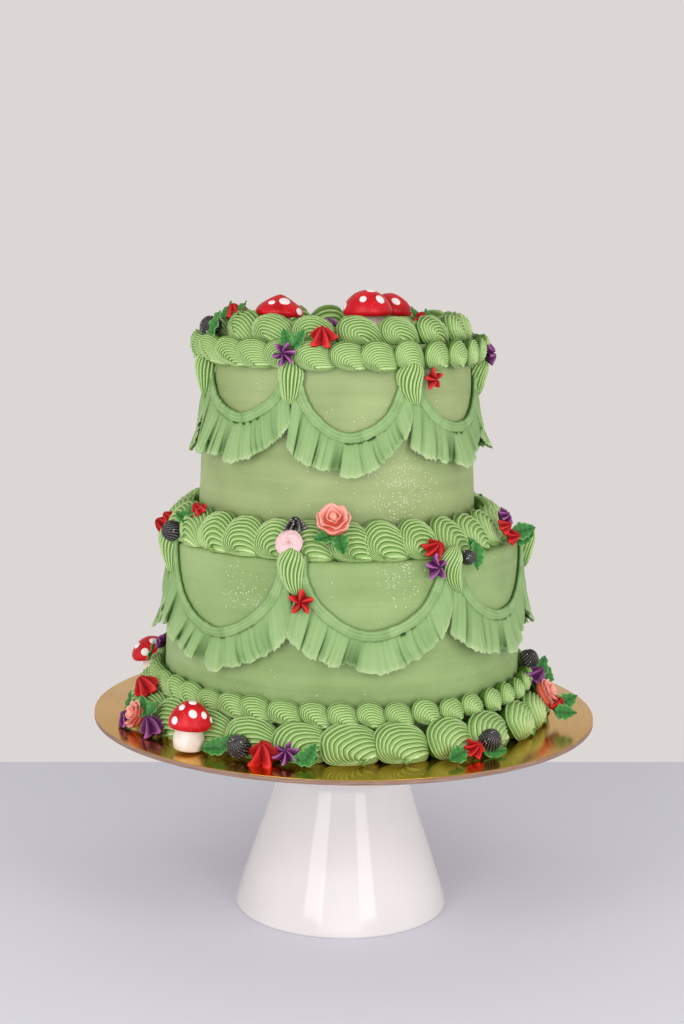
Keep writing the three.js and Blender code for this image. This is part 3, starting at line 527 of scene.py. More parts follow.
def piped_shell(border, index):
    """A dome over an oval that is squared below, carved by nested grooves.

    The oval's edge is squared(a) (cos a, sin a). Ring s runs from a slit (s = 0), which leads from
    the swirl's eye to its tail, out to the edge (s = 1): P = (1 - h) slit(a) + h edge(a), where
    h = 0.75 s + 0.25 sin(pi s / 2) keeps the rings even on the dome's steep flank. The dome
    stands deep (1 - (|P| / edge)^2) ^ (0.5 + skew x / 2) over it, less turn x of the half length,
    so the tail is tucked in. Towards the tail it narrows by taper t^2 and sinks by droop t^2,
    where t goes from 0 at the head to 1. Between two crests, f from 0 at the inner one to 1 at
    the outer one, the flute is groove sin(pi f^1.35) ^ 0.6 deep, and at most 0.6 of its own
    width: sharp crests, round valleys that are deepest under the next crest. The flutes fade out
    where the rings crowd from 0.75 mm to 0.25 mm.
    The rings sway by sin 2a, sin 5a and sin (12a + 9s), most where s is a half, and the crests are
    torn by hashed numbers. A shell that shows from inside the ring comes back to its slit on the
    far side, with fewer ridges, and any other one is closed by two rows behind its edge.
    """
    count, ridges, rows, columns = border["count"], border["ridges"], border["rows"], border["columns"]
    pitch = 360 / count
    azimuth = border["first"] + index * pitch + uneven(index, count) * pitch * SHELL_SHIFT
    swell = 1 + SHELL_SWELL * uneven(index, count + 1)
    wide = border["wide"] * swell
    tall = border["tall"] * (1 + SHELL_STRETCH * uneven(index, count + 2))
    deep = border["deep"] * swell
    slant = math.radians(border["slant"] + SHELL_SLANT * uneven(index, count + 3))
    a = 2 * np.pi * (np.arange(columns) + 0.5)[None, :] / columns
    s = np.linspace(0, 1, int((ridges + 0.5) * rows) + 1)[:, None]
    front = np.ones_like(s)
    if border["back"]:
        home = np.linspace(1, 0, int((border["back"] + 0.5) * rows) + 1)[1:, None]
        s, front = np.concatenate([s, home]), np.concatenate([front, 0 * home - BACK_DEPTH])
    eye = np.array(border["eye"]) + [0.16 * uneven(index, 11), 0.05 * uneven(index, 12)]
    tail = np.array(border["tail"])
    reach = ((1 + np.cos(a)) / 2)[..., None] ** 1.2
    slit = eye + (tail - eye) * reach + 0.02 * np.stack([0 * a, np.sin(a)], -1)
    edge = squared(a, border["square"])[..., None] * np.stack([np.cos(a), np.sin(a)], -1)
    sway = np.sin(2 * a + index * 1.7) + 0.6 * np.sin(5 * a + index * 2.9)
    sway = sway + 0.2 * np.sin(12 * a + index * 4.1 + 9 * s)
    sway = 0.25 / ridges * sway * np.sin(np.pi * s)
    share = np.clip(s + sway * s, 0, 1)[..., None]
    share = 0.75 * share + 0.25 * np.sin(np.pi / 2 * share)
    oval = (1 - share) * slit + share * edge
    along, above = oval[..., 0], oval[..., 1]
    late = ((1 + along) / 2) ** 2
    limit = squared(np.arctan2(above, along), border["square"])
    inside = np.maximum(0, 1 - (along**2 + above**2) / limit**2)
    out = deep * front * inside ** (0.5 + border["skew"] * along / 2) - border["turn"] * wide * along
    level = above * (1 - border["taper"] * late) - border["droop"] * late
    x = wide * along * math.cos(slant) - tall * level * math.sin(slant)
    z = tall * level * math.cos(slant) + wide * along * math.sin(slant)
    local = np.stack([x, out, z], -1)
    normal = normals_of(local)
    normal *= -1 if normal[ridges * rows // 2, :, 1].mean() < 0 else 1
    rings = np.where(front > 0, ridges, border["back"]) + 0.5
    width = np.linalg.norm(np.gradient(local, axis=0), axis=-1) * rows
    fade = np.clip((width - 0.25) / 0.5, 0, 1)
    between = np.round(s * rings * rows) / rows % 1
    ring = np.maximum(np.sin(np.pi * between**1.35), 0) ** 0.6 + 0 * a
    whole = np.round(s * rings) + 9 * (front < 0)
    strength = border["groove"] * (1 + 0.25 * uneven(np.floor(s * rings + 1e-6), index + 1))
    tear = uneven(whole * 37 + np.arange(columns), index + 5)
    tear = (tear + np.roll(tear, 1, 1) + 2) * 0.16 * (1 - ring) ** 3
    local = local - normal * (np.minimum(strength, 0.6 * width) * ring * fade + tear * fade)[..., None]
    # Painted light: a highlight on each crest and painted shade in the flute, faded where the rings crowd; a
    # painted contact shadow darkens the outer rim of each front shell.
    painted_light_and_tone = 0.35 + (np.interp(between, VALLEY_PLACES, FLUTE_PAINTED_LIGHT) - 0.35) * fade
    painted_light_and_tone = painted_light_and_tone * (1 - 0.9 * np.clip((s - 0.93) / 0.05, 0, 1) * (front > 0))
    end = "slit"
    if not border["back"]:
        rim = local[-1:]
        back = [rim * [0.96, 1, 0.96] - [0, 0.3 * deep, 0], rim * [0.7, 1, 0.7] - [0, 0.7 * deep, 0]]
        local, end = np.concatenate([local] + back), "pole"
        # The two closing rows behind the edge are painted full shade.
        painted_light_and_tone = np.concatenate([painted_light_and_tone, np.zeros((2, columns))])
    to_right, to_out, to_up = facing(azimuth, border["lift"])
    centre = on_ring(border["tier"], azimuth, border["radius"], border["z"])
    placed = centre + local[..., :1] * to_right + local[..., 1:2] * to_out + local[..., 2:] * to_up
    return skin(clear_of(border["tier"], border["floor"], placed), painted_light_and_tone, start="slit", end=end)


# Turned forms


def lathe(profile, columns, centre=0.0, waver=None):
    """A profile of (radius, height) turned about the vertical line through (centre, 0). Waver adds
    to the radius by the angle and the height."""
    turn = round_angles(columns)
    radius, z = profile[:, :1], profile[:, 1:]
    radius = radius + (0 if waver is None else waver(turn, z))
    x, y = centre + radius * np.sin(turn), -radius * np.cos(turn)
    return np.stack([x, y, z + 0 * turn], -1)


def tier_skin(tier):
    """A drum with a rounded top edge, turned from its profile. Its wall and edge stray up to 0.3 mm
    by three long sine waves."""
    low, high, soft = tier["bottom"] + 0.2, tier["top"], tier["rounding"]
    heights = np.linspace(low, high - soft, 40)
    wall = np.stack([wall_radius(tier, heights), heights], -1)
    bend = np.linspace(0, np.pi / 2, 7)[1:]
    corner = np.stack([tier["rim"] - soft + soft * np.cos(bend), high - soft + soft * np.sin(bend)], -1)
    roof = np.stack([np.linspace(tier["rim"] - soft, 4, 12)[1:], np.full(11, high)], -1)
    foot = np.array([[4.0, low], [tier["foot"] * 0.6, low]])
    profile = np.concatenate([foot, wall, corner, roof])

    def waver(turn, z):
        wave = 0.14 * np.sin(3 * turn + z * 0.02) + 0.1 * np.sin(7 * turn - z * 0.05 + 1)
        wave += 0.06 * np.sin(z * 0.31 + np.sin(turn) * 2)
        return wave * (profile[:, :1] > tier["rim"] - 4)

    return skin(lathe(profile, 192, tier["centre"], waver))


# Swags


def scallop(curve, place):
    """How far a scallop hangs, 0 to 1, at a place from -1 to 1: (1 - |p| ^ c) ^ (1 / c)."""
    return np.maximum(0, 1 - np.abs(place) ** curve) ** (1 / curve)


def swag_azimuth(swags, index, place):
    """The azimuth at a place from -1 to 1 between a swag's two drops."""
    starts = list(swags["drops"]) + [swags["drops"][0] + 360]
    return starts[index] + (starts[index + 1] - starts[index]) * (1 + place) / 2


def cord_skin(swags, index):
    """A flat cord along a curve between two drops: part = sin t, hanging sag scallop(part).

    Its section is a flattened oval, half width |cos a|^0.85 to either side and middle + half depth
    sin a off the wall, with two fine grooves along it where |cos a| is 0.42. Its width and its
    height on the wall stray a little, as a hand does that pipes it.
    """
    tier = swags["tier"]
    t = np.radians(np.linspace(-90, 90, 97))
    part = np.sin(t)
    azimuth = swag_azimuth(swags, index, CORD_SPAN * part)
    z = swags["hung"] - swags["cord_sags"][index] * scallop(CORD_CURVE, part)
    azimuth = np.concatenate([azimuth[:1], azimuth, azimuth[-1:]])
    z = np.concatenate([[swags["hung"] + 5], z, [swags["hung"] + 5]])
    z = z + 0.3 * np.sin(np.arange(len(z)) * 0.21 + index * 2)
    radius = wall_radius(tier, z)
    line = on_ring(tier, azimuth, radius, z)
    step = np.gradient(line, axis=0)
    step /= np.linalg.norm(step, axis=-1, keepdims=True)
    turn = np.radians(azimuth)
    out = np.stack([np.sin(turn), -np.cos(turn), 0 * turn], -1)
    across = np.cross(step, out)
    a = round_angles(32)[0]
    k = np.arange(len(z))[:, None]
    swell = 1 + 0.05 * np.sin(k * 0.47 + index) + 0.04 * np.sin(k * 1.3 + 2 * index) + 0.03 * uneven(k, index)
    bulge = 1 - 0.05 * np.exp(-(((np.abs(np.cos(a)) - 0.42) / 0.12) ** 2)) * (np.sin(a) > 0)
    side = CORD_HALF_WIDTH * np.sign(np.cos(a)) * np.abs(np.cos(a)) ** 0.85 * swell
    rise = CORD_MIDDLE + CORD_HALF_DEPTH * np.sin(a) * bulge * swell
    grid = line[:, None] + across[:, None] * side[..., None] + out[:, None] * rise[..., None]
    # Painted shade: darker on the side against the wall and in the two fine grooves; the line marks are faint
    # stripes of tone.
    line_marks = 0.1 * uneven(np.arange(32), 3) + 0.08 * uneven(np.round(k / 3), 5)
    painted_light_and_tone = (0.46 + line_marks) * np.clip((np.sin(a) + 0.15) * 2.2, 0, 1) * bulge**2 + 0 * side
    return skin(grid, painted_light_and_tone)


def pleats_of(t, widths, seed):
    """A number that rises by 1 over each pleat, with pleats of uneven width."""
    widths = widths * (1 + 0.25 * uneven(np.arange(len(widths)), seed))
    marks = np.concatenate([[0], np.cumsum(widths)])
    return np.interp(t, marks / marks[-1], np.arange(len(widths) + 1))


def ruffle_skin(swags, index):
    """A pleated sheet from the cord's lower side to a hem that stands off the wall.

    Along t from 0 to 1 its upper edge follows the cord, slightly ragged, with gaps of up to 1.3 mm
    where it came away. Its hem falls from the left end to the lowest point and rises to the right
    end by two scallops. It is drawn up by half the fold and torn by two fast sine waves and hashed
    numbers. At depth v below the edge the sheet stands out by
    (2.4 v^1.1 + (fold + fine / 4) v^1.4) (1 - 0.35 |part|^8) + 0.9 sin(pi v), where fine is a row
    of 31 small waves. Across a pleat, u from 0 to 1, with arch = (4u(1 - u))^0.5, the fold is
    height (1 - 0.75 sharp (1 - arch) + tilt sharp (2u - 1)): broad convex panels, parted by
    creases from sharp to none, and where the tilts differ one panel laps over the next. A panel
    spreads over its creases by 0.35 height arch (2u - 1) sharp v^1.6. Folds are deep at the left
    and shallow at the right. The back side is the same sheet less its thickness. Painted shade
    darkens it under the cord, most where it came away, in the creases, in hollows and between the
    small waves, and it is painted lighter along the hem.
    """
    tier = swags["tier"]
    steps, depth = 425, 14
    t = np.linspace(0, 1, steps)[:, None]
    part = np.sin(np.pi / 2 * (2 * t - 1))
    spread = np.sign(part) * np.abs(part) ** 0.8
    half_turn = math.radians(swag_azimuth(swags, index, 1) - swag_azimuth(swags, index, 0))
    cord_side = CORD_SPAN + (CORD_RADIUS - 0.9) / (half_turn * tier["rim"])
    drawn = (swags["cord_sags"][index] + CORD_RADIUS - 0.6) * scallop(CORD_CURVE, part)
    seed = index + (10 if tier is LOWER else 0)
    parted = np.clip(uneven(np.round(t * 40), seed + 4) * 1.5, 0, 1)
    gap = 1.3 * parted * np.clip(1.2 - np.abs(part - 0.3) * 2, 0, 1)
    high_z = swags["hung"] - np.maximum(drawn, 6) + 0.35 * uneven(np.round(t * 90), seed + 4) - gap
    v, side = two_sides(0, 1, depth)
    along = (1 + part) / 2
    bow = 0.03 * np.sin(np.pi * v) * (2 * along - 0.8) * np.sin(np.pi * along)
    pleat = pleats_of(np.clip(along + bow, 0, 0.9999), PLEAT_WIDTHS, seed)
    number = np.minimum(np.floor(pleat), len(PLEAT_WIDTHS) - 1).astype(int)
    u = pleat - number
    places = np.arange(len(PLEAT_WIDTHS))
    heights = PLEAT_HEIGHTS * (1 + 0.3 * uneven(places, seed + 1))
    height = 0.5 * heights[number] + 0.5 * np.interp(pleat - 0.5, places, heights)
    creases = np.clip(PLEAT_CREASES * (1 + 0.4 * uneven(np.arange(len(PLEAT_CREASES)), seed + 9)), 0, 1)
    sharp = creases[number] * (1 - u) + creases[number + 1] * u
    tilt = np.where(number == len(PLEAT_WIDTHS) - 1, -0.8, 0.5 * uneven(number, seed + 7))
    tilt = np.where(number < 3, 0.4, tilt)
    arch = np.sqrt(np.clip(4 * u * (1 - u), 0, 1))
    fold = height * (1 - 0.75 * sharp * (1 - arch) + tilt * sharp * (2 * u - 1))
    fold = (fold + np.roll(fold, 1, 0) + np.roll(fold, -1, 0)) / 3
    fold[0], fold[-1] = fold[1], fold[-2]
    fine = 0.5 - 0.5 * np.cos(2 * np.pi * pleats_of(along, np.ones(31), seed + 2))
    ragged = 0.3 * np.sin(97 * t + seed) + 0.35 * np.sin(263 * t + 2 * seed)
    ragged = ragged + 0.6 * uneven(np.round(t * 190), seed)
    left, right = swags["left_end"], swags["right_ends"][index]
    lowest = swags["hems"][index]
    hem = np.where(
        spread < 0,
        left - (left - lowest) * scallop(swags["curves"][0], spread),
        right - (right - lowest) * scallop(swags["curves"][1], spread),
    )
    at_hem = fold[:, depth - 1 : depth]
    hem = np.minimum(hem, high_z - 2.5) - 0.5 * at_hem + 0.9 * ragged
    z = high_z + (hem - high_z) * v
    place = part * cord_side + (spread * 1.03 - part * cord_side) * v
    lean = 0.35 * height * arch * (2 * u - 1) * sharp * v**1.6
    azimuth = swag_azimuth(swags, index, place) + np.degrees(lean / tier["rim"])
    ease = 1 - 0.35 * np.abs(part) ** 8
    stand = (2.4 * v**1.1 + (fold + 0.25 * fine) * v**1.4) * ease + 0.9 * np.sin(np.pi * v)
    thick = RUFFLE_EDGE + (RUFFLE_HEM - RUFFLE_EDGE) * v
    radius = wall_radius(tier, z) + 0.3 + stand + thick * (side + 1) / 2 + 0.15 * ragged * v**4
    grid = on_ring(tier, azimuth, radius, z)
    # Painted shade in the creases and hollows and between the small waves, lighter along the hem, and a
    # painted shadow under the cord, darkest in the gaps.
    crease = np.exp(-((arch / 0.45) ** 2)) * v**0.6 * np.clip(height / 4, 0.4, 1) * sharp
    around = sum(np.roll(fold, k, 0) for k in (-33, -22, -11, 11, 22, 33)) / 6
    hollow = np.clip(around - fold, -0.8, 3.0) * v**0.7
    painted_light_and_tone = 0.43 + 0.05 * fine - 0.5 * crease - 0.13 * hollow + 0.5 * v**16
    painted_light_and_tone = painted_light_and_tone - (0.4 + 0.4 * (gap > 0.5)) * np.exp(-v / 0.035)
    return skin(grid, painted_light_and_tone, start="slit", end="slit")


def drop_skin(swags, index):
    """A ridged drop: level oval rings, down a line that leaves the wall towards its blunt tip.

    At v from 0 at the folded top to 1 at the tip its half width is (1 - (1 - v / 0.3)^2)^0.5 up to
    0.3 and then, with w = (v - 0.3) / 0.7, (1 - 0.5 w^1.4) (1 - w^7)^0.6, times the drop's half
    width across and its depth outwards. Each ring is carved by groove |sin(n (a + hook))|^0.7 of its
    size, where hook grows as (1 - v)^3 towards the top, so the ridges fold over there. The line is
    0.8 (1 - v)^2 - 1.2 v^2 + 1.5 v^5 off the wall, and its tip is flicked sideways.
    """
    tier = swags["tier"]
    v = np.linspace(0.004, 0.999, 52)[:, None]
    a = round_angles(126)
    seed = index + (20 if tier is LOWER else 3)
    w = np.maximum(v - 0.3, 0) / 0.7
    fold = (1 - (1 - np.minimum(v / 0.3, 1)) ** 2) ** 0.5
    size = np.where(v < 0.3, fold, (1 - 0.5 * w**1.4) * (1 - w**7) ** 0.6)
    hook = 0.35 * uneven(seed, 2) * v + (0.9 + 0.4 * uneven(seed, 4)) * (1 - v) ** 3
    wave = np.abs(np.sin(DROP_RIDGES * (a + hook))) ** 0.7
    stray = 0.025 * uneven(np.round(DROP_RIDGES * (a + hook) / np.pi), seed)
    carve = 1 - (DROP_GROOVE * wave - stray) * (1 - v**12)
    wide = swags["drop_size"][0] * (1 + 0.08 * uneven(seed, 1)) * size * carve
    deep = DROP_DEEP * size * carve
    flick = swags["flicks"][index]
    x = wide * np.cos(a) + flick * v**2.5 - 0.3 * flick * np.sin(np.pi * v)
    y = deep * np.sin(a) + 1.5 * v**5 - 1.2 * v**2 + 0.8 * (1 - v) ** 2
    z = swags["drop_size"][1] * (1 - 2 * v) + 1.5 * (1 - v) ** 4 * np.sin(a)
    middle_z = swags["hung"] - DROP_BELOW
    azimuth = swags["drops"][index]
    right, out, up = facing(azimuth)
    centre = on_ring(tier, azimuth, wall_radius(tier, middle_z) + CORD_RADIUS, middle_z)
    grid = centre + x[..., None] * right + y[..., None] * out + z[..., None] * up
    # Painted shade in the grooves and a painted highlight on the ridges.
    return skin(clear_of(tier, 0, grid, 0.3), 1 - wave**1.8 + 0 * v)


# Toppings, in parts of their width, with the second axis outward

ROSE_BASE = [(0.02, 0.16), (0.3, 0.2), (0.46, 0.12), (0.47, 0.0), (0.3, -0.14)]
ROSE_BUD = [(0.01, 0.52), (0.09, 0.5), (0.13, 0.4), (0.15, 0.1)]
# Rings of a rose from the bud outwards: number of petals, radius, height and lean.
ROSE_RINGS = ((3, 0.2, 0.5, 0.02), (5, 0.34, 0.44, 0.1), (6, 0.42, 0.3, 0.12))
DOLLOP_GROOVES, ROSETTE_GROOVES = 20, 16
DOLLOP_PROFILE = [
    (0.01, 0.5), (0.07, 0.56), (0.2, 0.56), (0.38, 0.42), (0.47, 0.16), (0.46, -0.06), (0.3, -0.2),
]
ROSETTE_PROFILE = [(0.01, 0.2), (0.1, 0.27), (0.3, 0.28), (0.45, 0.2), (0.5, 0.08), (0.3, -0.12)]
# Half width of a leaf along its length.
LEAF_PLACES, LEAF_BREADTHS = [0, 0.18, 0.45, 0.75, 0.94, 1], [0.16, 0.33, 0.36, 0.22, 0.07, 0.012]


def about_outward(radius, high, a):
    """Points round a topping's outward axis: (r cos a, height, r sin a)."""
    return np.stack(np.broadcast_arrays(radius * np.cos(a), high, radius * np.sin(a)), -1)


def petals_of(a, twist, count):
    """Petals round a circle: p = |cos(n (a - twist) / 2)|, which is 1 on a crest and 0 between two
    petals, the number of the petal, and a point that falls evenly from 1 on the crest to 0."""
    p = np.abs(np.cos(count / 2 * (a - twist)))
    number = np.round((a - twist) / (2 * np.pi) * count) % count
    point = 1 - np.arccos(np.clip(p, 0, 1)) / (np.pi / 2)
    return p, number, point


def closed_below(top, painted_light_and_tone, width, steps):
    """Closes a flower below by rows drawn in from its rim: rim (k, m, k) + (0, d width, 0)."""
    under = np.array([top[-1] * [k, m, k] + [0, width * d, 0] for k, m, d in steps])
    # The rows beneath are painted full shade.
    painted_light_and_tone = np.concatenate([painted_light_and_tone, np.zeros(under.shape[:2])])
    return [(np.concatenate([top, under]), painted_light_and_tone, "pole", "pole")]


def star(width, item):
    """A drop star: five or six plump petals, each with a crest and a crease beside it.

    Outwards, v from 0 to 1, the reach is v (0.22 + 0.32 point^0.9). The height goes by p^1.1 from
    the valley, 0.3 (1 - v)^1.2 - 0.04 v, to the crest, 0.36 - 0.32 v^2 + 0.1 v^6, which turns its
    tip up. A dimple is left in the middle, where the nozzle pulled away.
    """
    v = np.linspace(0.02, 1, 20)[:, None]
    a = round_angles(84)
    twist = (0.5 - 0.4 * v) * (1 + 0.3 * uneven(item, 3))
    p, number, point = petals_of(a, twist, 5 + item % 2)
    length = 1 + 0.12 * uneven(number, item)
    crease = np.exp(-(((p - 0.8) / 0.07) ** 2)) * (1 - v**6)
    reach = width * v * (0.22 + 0.32 * point**0.9 * length) * (1 - 0.04 * crease)
    crest = 0.36 - 0.32 * v**2 + 0.1 * v**6
    valley = 0.3 * (1 - v) ** 1.2 - 0.04 * v
    dimple = 0.12 * np.exp(-((v / 0.14) ** 2))
    high = width * (valley + (crest - valley) * p**1.1 * length - 0.03 * crease - dimple)
    # Painted highlight on the petals' crests and painted shade in the creases beside them.
    painted_shine_and_shade = np.clip(0.2 + 0.5 * p**3 + 0.3 * p**12 * v - 0.3 * crease, 0, 1)
    steps = ((0.94, 0.94, -0.06), (0.6, 0.6, -0.16), (0.25, 0.25, -0.22))
    return closed_below(about_outward(reach, high, a), painted_shine_and_shade, width, steps)


def bud(width, item):
    """A drop flower: folded petals that fall from a pinched top and flare to a thin rim.

    Outwards, v from 0 to 1, the reach is (0.07 + 0.46 v^0.8) (0.4 + 0.6 point^0.85), so it is drawn
    in by more than half between the petals. The height is 0.46 - 0.6 v^1.15, and the rim turns up
    by 0.07 v^7. Small pinches, sin(3 n a), ruffle the petals.
    """
    petals = 5 + item % 2
    v = np.linspace(0.02, 1, 22)[:, None]
    a = round_angles(84)
    twist = 0.7 * (1 - v) * (0.6 + 0.4 * uneven(item, 3)) + item
    p, number, point = petals_of(a, twist, petals)
    length = 1 + 0.14 * uneven(number, item)
    reach = width * (0.07 + 0.46 * v**0.8) * (0.4 + 0.6 * point**0.85 * length)
    high = width * (0.46 - 0.6 * v**1.15 + 0.07 * v**7 + 0.05 * p**2 * v)
    pinch = 0.05 * np.sin(3 * petals * a + 2 * item) * np.sin(np.pi * v)
    reach, high = reach * (1 + pinch), high * (1 + 0.1 * uneven(number, item + 2) * v)
    # Painted highlight on the petals' crests and along the rim, and painted light and shade over the pinches.
    painted_shine_and_shade = np.clip(0.2 + 0.3 * p**3 + 0.45 * p**20 * v**0.4 + 0.6 * v**9 + 2 * pinch, 0, 1)
    steps = ((0.93, 0, -0.13), (0.6, 0, -0.2), (0.25, 0, -0.22))
    return closed_below(about_outward(reach, high, a), painted_shine_and_shade, width, steps)


def dollop(width, item):
    """An upright swirl: an egg carved by n fine grooves, |sin(n (a + twist) / 2)|, that turn as
    they rise, with a small hollow where they meet."""
    profile = smooth_line(DOLLOP_PROFILE, 30)
    a = round_angles(120)
    radius, high = width * profile[:, :1], width * profile[:, 1:]
    twist = 1.6 * (high / width) ** 2 + 0.5 * high / width + uneven(item, 1)
    groove = np.abs(np.sin(DOLLOP_GROOVES / 2 * (a + twist)))
    # Painted shade in the grooves.
    return [(about_outward(radius * (1 - 0.13 * groove), high, a), 1 - groove, "pole", "pole")]


def rose_petal(radius, high, span, start, lean, thick, frill, item):
    """A curved petal on a circle: row b rises from 0 to 1 while it leans out by lean b^2, and its
    rim sways by frill sin(5k), where k goes from -1 to 1 across it."""
    b = np.linspace(0, 1, 10)[:, None]
    k, side = two_sides(-1, 1, 15)
    turn = start + k * span * (0.55 + 0.45 * np.sin(np.pi * b * 0.75))
    ring = radius * (0.45 + 0.55 * b**0.8) + lean * b**2 + frill * np.sin(k * 5 + item) * b**2
    ring = ring + side * thick * (1 - 0.6 * b)
    return about_outward(ring, high * b * (1 - 0.3 * k**2 * b), turn)


def rose(width, item):
    """A piped rose: a twisted bud inside three rings of overlapping petals on a low base."""
    a = round_angles(36)
    base = smooth_line(ROSE_BASE, 10)
    middle = smooth_line(ROSE_BUD, 9)
    spiral = 1 + 0.16 * np.sin(2 * a + 9 * middle[:, 1:])
    # Painted shade: the low base is darker and the bud lighter, and each petal goes from painted shade at its
    # foot to light at its rim.
    skins = [
        (about_outward(width * base[:, :1], width * base[:, 1:], a), 0.2, "pole", "pole"),
        (about_outward(width * middle[:, :1] * spiral, width * middle[:, 1:], a), 0.8, "pole", "pole"),
    ]
    painted_light_and_tone = np.linspace(0.1, 1, 10)[:, None]
    for ring, (count, radius, high, lean) in enumerate(ROSE_RINGS):
        for i in range(count):
            start = 2 * np.pi * (i + 0.4 * ring) / count + uneven(item, ring) * 0.5
            tall = width * high * (1 + 0.08 * uneven(i, item))
            grid = rose_petal(
                width * radius, tall, 4.2 / count, start, width * lean, width * 0.022, width * 0.02, item + i,
            )
            skins.append((grid, painted_light_and_tone, "slit", "slit"))
    return skins


def rosette(width, item):
    """A flat disc of a flower: a low dome with n winding grooves, |sin(n (a + 4.5 r) / 2)|, each
    0.05 of the radius and 0.028 of the width deep, and a lumpy face."""
    profile = smooth_line(ROSETTE_PROFILE, 28)
    a = round_angles(96)
    turn = a + 4.5 * profile[:, :1] + 0.3 * np.sin(3 * a + item)
    wind = np.abs(np.sin(ROSETTE_GROOVES / 2 * turn))
    lump = 0.012 * np.sin(5 * a + 30 * profile[:, :1]) + 0.01 * uneven(np.arange(96)[None, :], item)
    radius = width * profile[:, :1] * (1 - 0.05 * wind)
    high = width * (profile[:, 1:] - 0.028 * wind + lump)
    # Painted shade in the winding grooves.
    return [(about_outward(radius, high, a), 1 - wind, "pole", "pole")]


def leaf(width, item):
    """A leaf that grows to its right and curls up by 0.26 b^2, b from 0 to 1 along it.

    Its half width follows the table, with small notches. Across it, k from -1 to 1, the halves fold
    up by 0.36 |k|^1.1 of the half width and their edges sway. A vein is sunk along the middle.
    """
    b = np.linspace(0, 1, 34)[:, None]
    half = width * np.interp(b, LEAF_PLACES, LEAF_BREADTHS)
    half = half * (1 + 0.1 * np.sin(b * 23 + item) + 0.05 * uneven(np.arange(34)[:, None], item))
    k, side = two_sides(-1, 1, 15)
    rise = width * (0.05 + 0.26 * b**2)
    sway = 0.05 * width * np.sin(b * 17 + item) * np.abs(k) ** 2
    fold = 0.36 * half * np.abs(k) ** 1.1
    thick = width * (0.04 - 0.026 * np.abs(k)) * (1.15 - b * 0.6)
    vein = 0.03 * width * np.exp(-((k / 0.12) ** 2)) * side
    up = rise + sway + fold - 0.06 * width + side * thick - vein
    grid = np.stack(np.broadcast_arrays(width * (b - 0.5), up, half * k), -1)
    # Painted shade in the sunk vein; the halves are lighter towards their edges and the tone wavers along the
    # leaf.
    shade = 0.28 + 0.07 * np.sin(b * 31 + item) + 0.6 * np.abs(k) ** 7 - 0.25 * np.exp(-((k / 0.16) ** 2))
    return [(grid, np.clip(shade, 0, 1), "slit", "slit")]


# The forms by the kind that a topping's row gives.
KINDS = dict(star=star, bud=bud, dollop=dollop, rose=rose, rosette=rosette, leaf=leaf)


def topping_skins(tier, row, item):
    """A topping's own points (to the right, outward, above), turned about outward and put at its
    place. Item is the number that its hashed numbers start from."""
    kind, _, azimuth, radius, z, lift, turn, width, *swing = row
    right, out, up = facing(azimuth + sum(swing), lift)
    spin = math.radians(turn)
    along = right * math.cos(spin) + up * math.sin(spin)
    across = -right * math.sin(spin) + up * math.cos(spin)
    centre = on_ring(tier, azimuth, radius, z)
    skins = []
    for grid, painted_light_and_tone, start, end in KINDS[kind](width, item):
        placed = centre + grid[..., :1] * along + grid[..., 1:2] * out + grid[..., 2:] * across
        skins.append(skin(placed, painted_light_and_tone, start, end))
    return skins


# Mushrooms

DOT_HEIGHT = 0.62


def cap_profile(m):
    """A cap as (radius, height), between a dome and a peaked cone, with a soft lip and a shallow
    underside."""
    cap, high, tall = m["cap"], m["high"], m["tall"]
    parts = np.array([0.0015, 0.14, 0.32, 0.56, 0.8, 0.95, 1.0])
    dome = np.array([1, 0.992, 0.955, 0.83, 0.58, 0.29, 0.07])
    cone = np.array([1, 0.93, 0.8, 0.6, 0.4, 0.23, 0.07])
    heights = tall + high * (dome + (cone - dome) * m["peak"])
    under = [(cap * 0.94, tall - 1.3), (cap * 0.78, tall - 1.6), (cap * 0.4, tall - 0.6), (0.4, tall)]
    return smooth_line(np.concatenate([np.stack([cap * parts, heights], -1), under]), 52)


def mushroom_pose(m):
    """Rotation about Y by the tilt and the place of the stem's foot."""
    centre = on_ring(m["tier"], m["azimuth"], m["radius"], m["base"] + SEAT_GAP)
    tilt = math.radians(m["tilt"])
    centre[2] += m["stem"] * abs(math.sin(tilt))
    turn = np.array([[math.cos(tilt), 0, math.sin(tilt)], [0, 1, 0], [-math.sin(tilt), 0, math.cos(tilt)]])
    return turn, centre


def off_axis(profile):
    """0 on the axis and 1 from 4 mm away, so that the lumps fade towards a pole."""
    return np.clip(profile[:, :1] / 4, 0, 1)


def cap_dot(m, upper, azimuth, angle, radius):
    """A round dot laid on the cap, square to its profile at an angle from the top.

    It is a cushion, height cos b with b from 0 at its middle to pi below it, nearly half of it in
    the cap. Its edge bends down by half of r^2 / cap radius, as the cap does.
    """
    angles = np.degrees(np.arctan2(upper[:, 0], (upper[:, 1] - m["tall"]) * m["cap"] / m["high"]))
    places = [np.interp([angle, angle - 2, angle + 2], angles, upper[:, side]) for side in (0, 1)]
    (r, inner, outer), (z, higher, lower) = places
    right, level, _ = facing(azimuth)
    down = level * (outer - inner) + np.array([0, 0, lower - higher])
    down /= np.linalg.norm(down)
    normal = np.cross(right, down)
    normal *= np.sign(normal @ (level * r + np.array([0, 0, z - m["tall"]])))
    ring = np.linspace(0.02, np.pi - 0.02, 12)[:, None]
    a = round_angles(28)
    wide = radius * np.sin(ring) * (1 + 0.06 * np.sin(2 * a + azimuth))
    high = DOT_HEIGHT * np.cos(ring) - 0.5 * (wide / m["cap"]) ** 2 * m["cap"]
    spot = level * r + np.array([0, 0, z]) + normal * 0.12
    spot = spot + (wide * np.cos(a))[..., None] * right + (wide * np.sin(a))[..., None] * down
    return spot + high[..., None] * normal


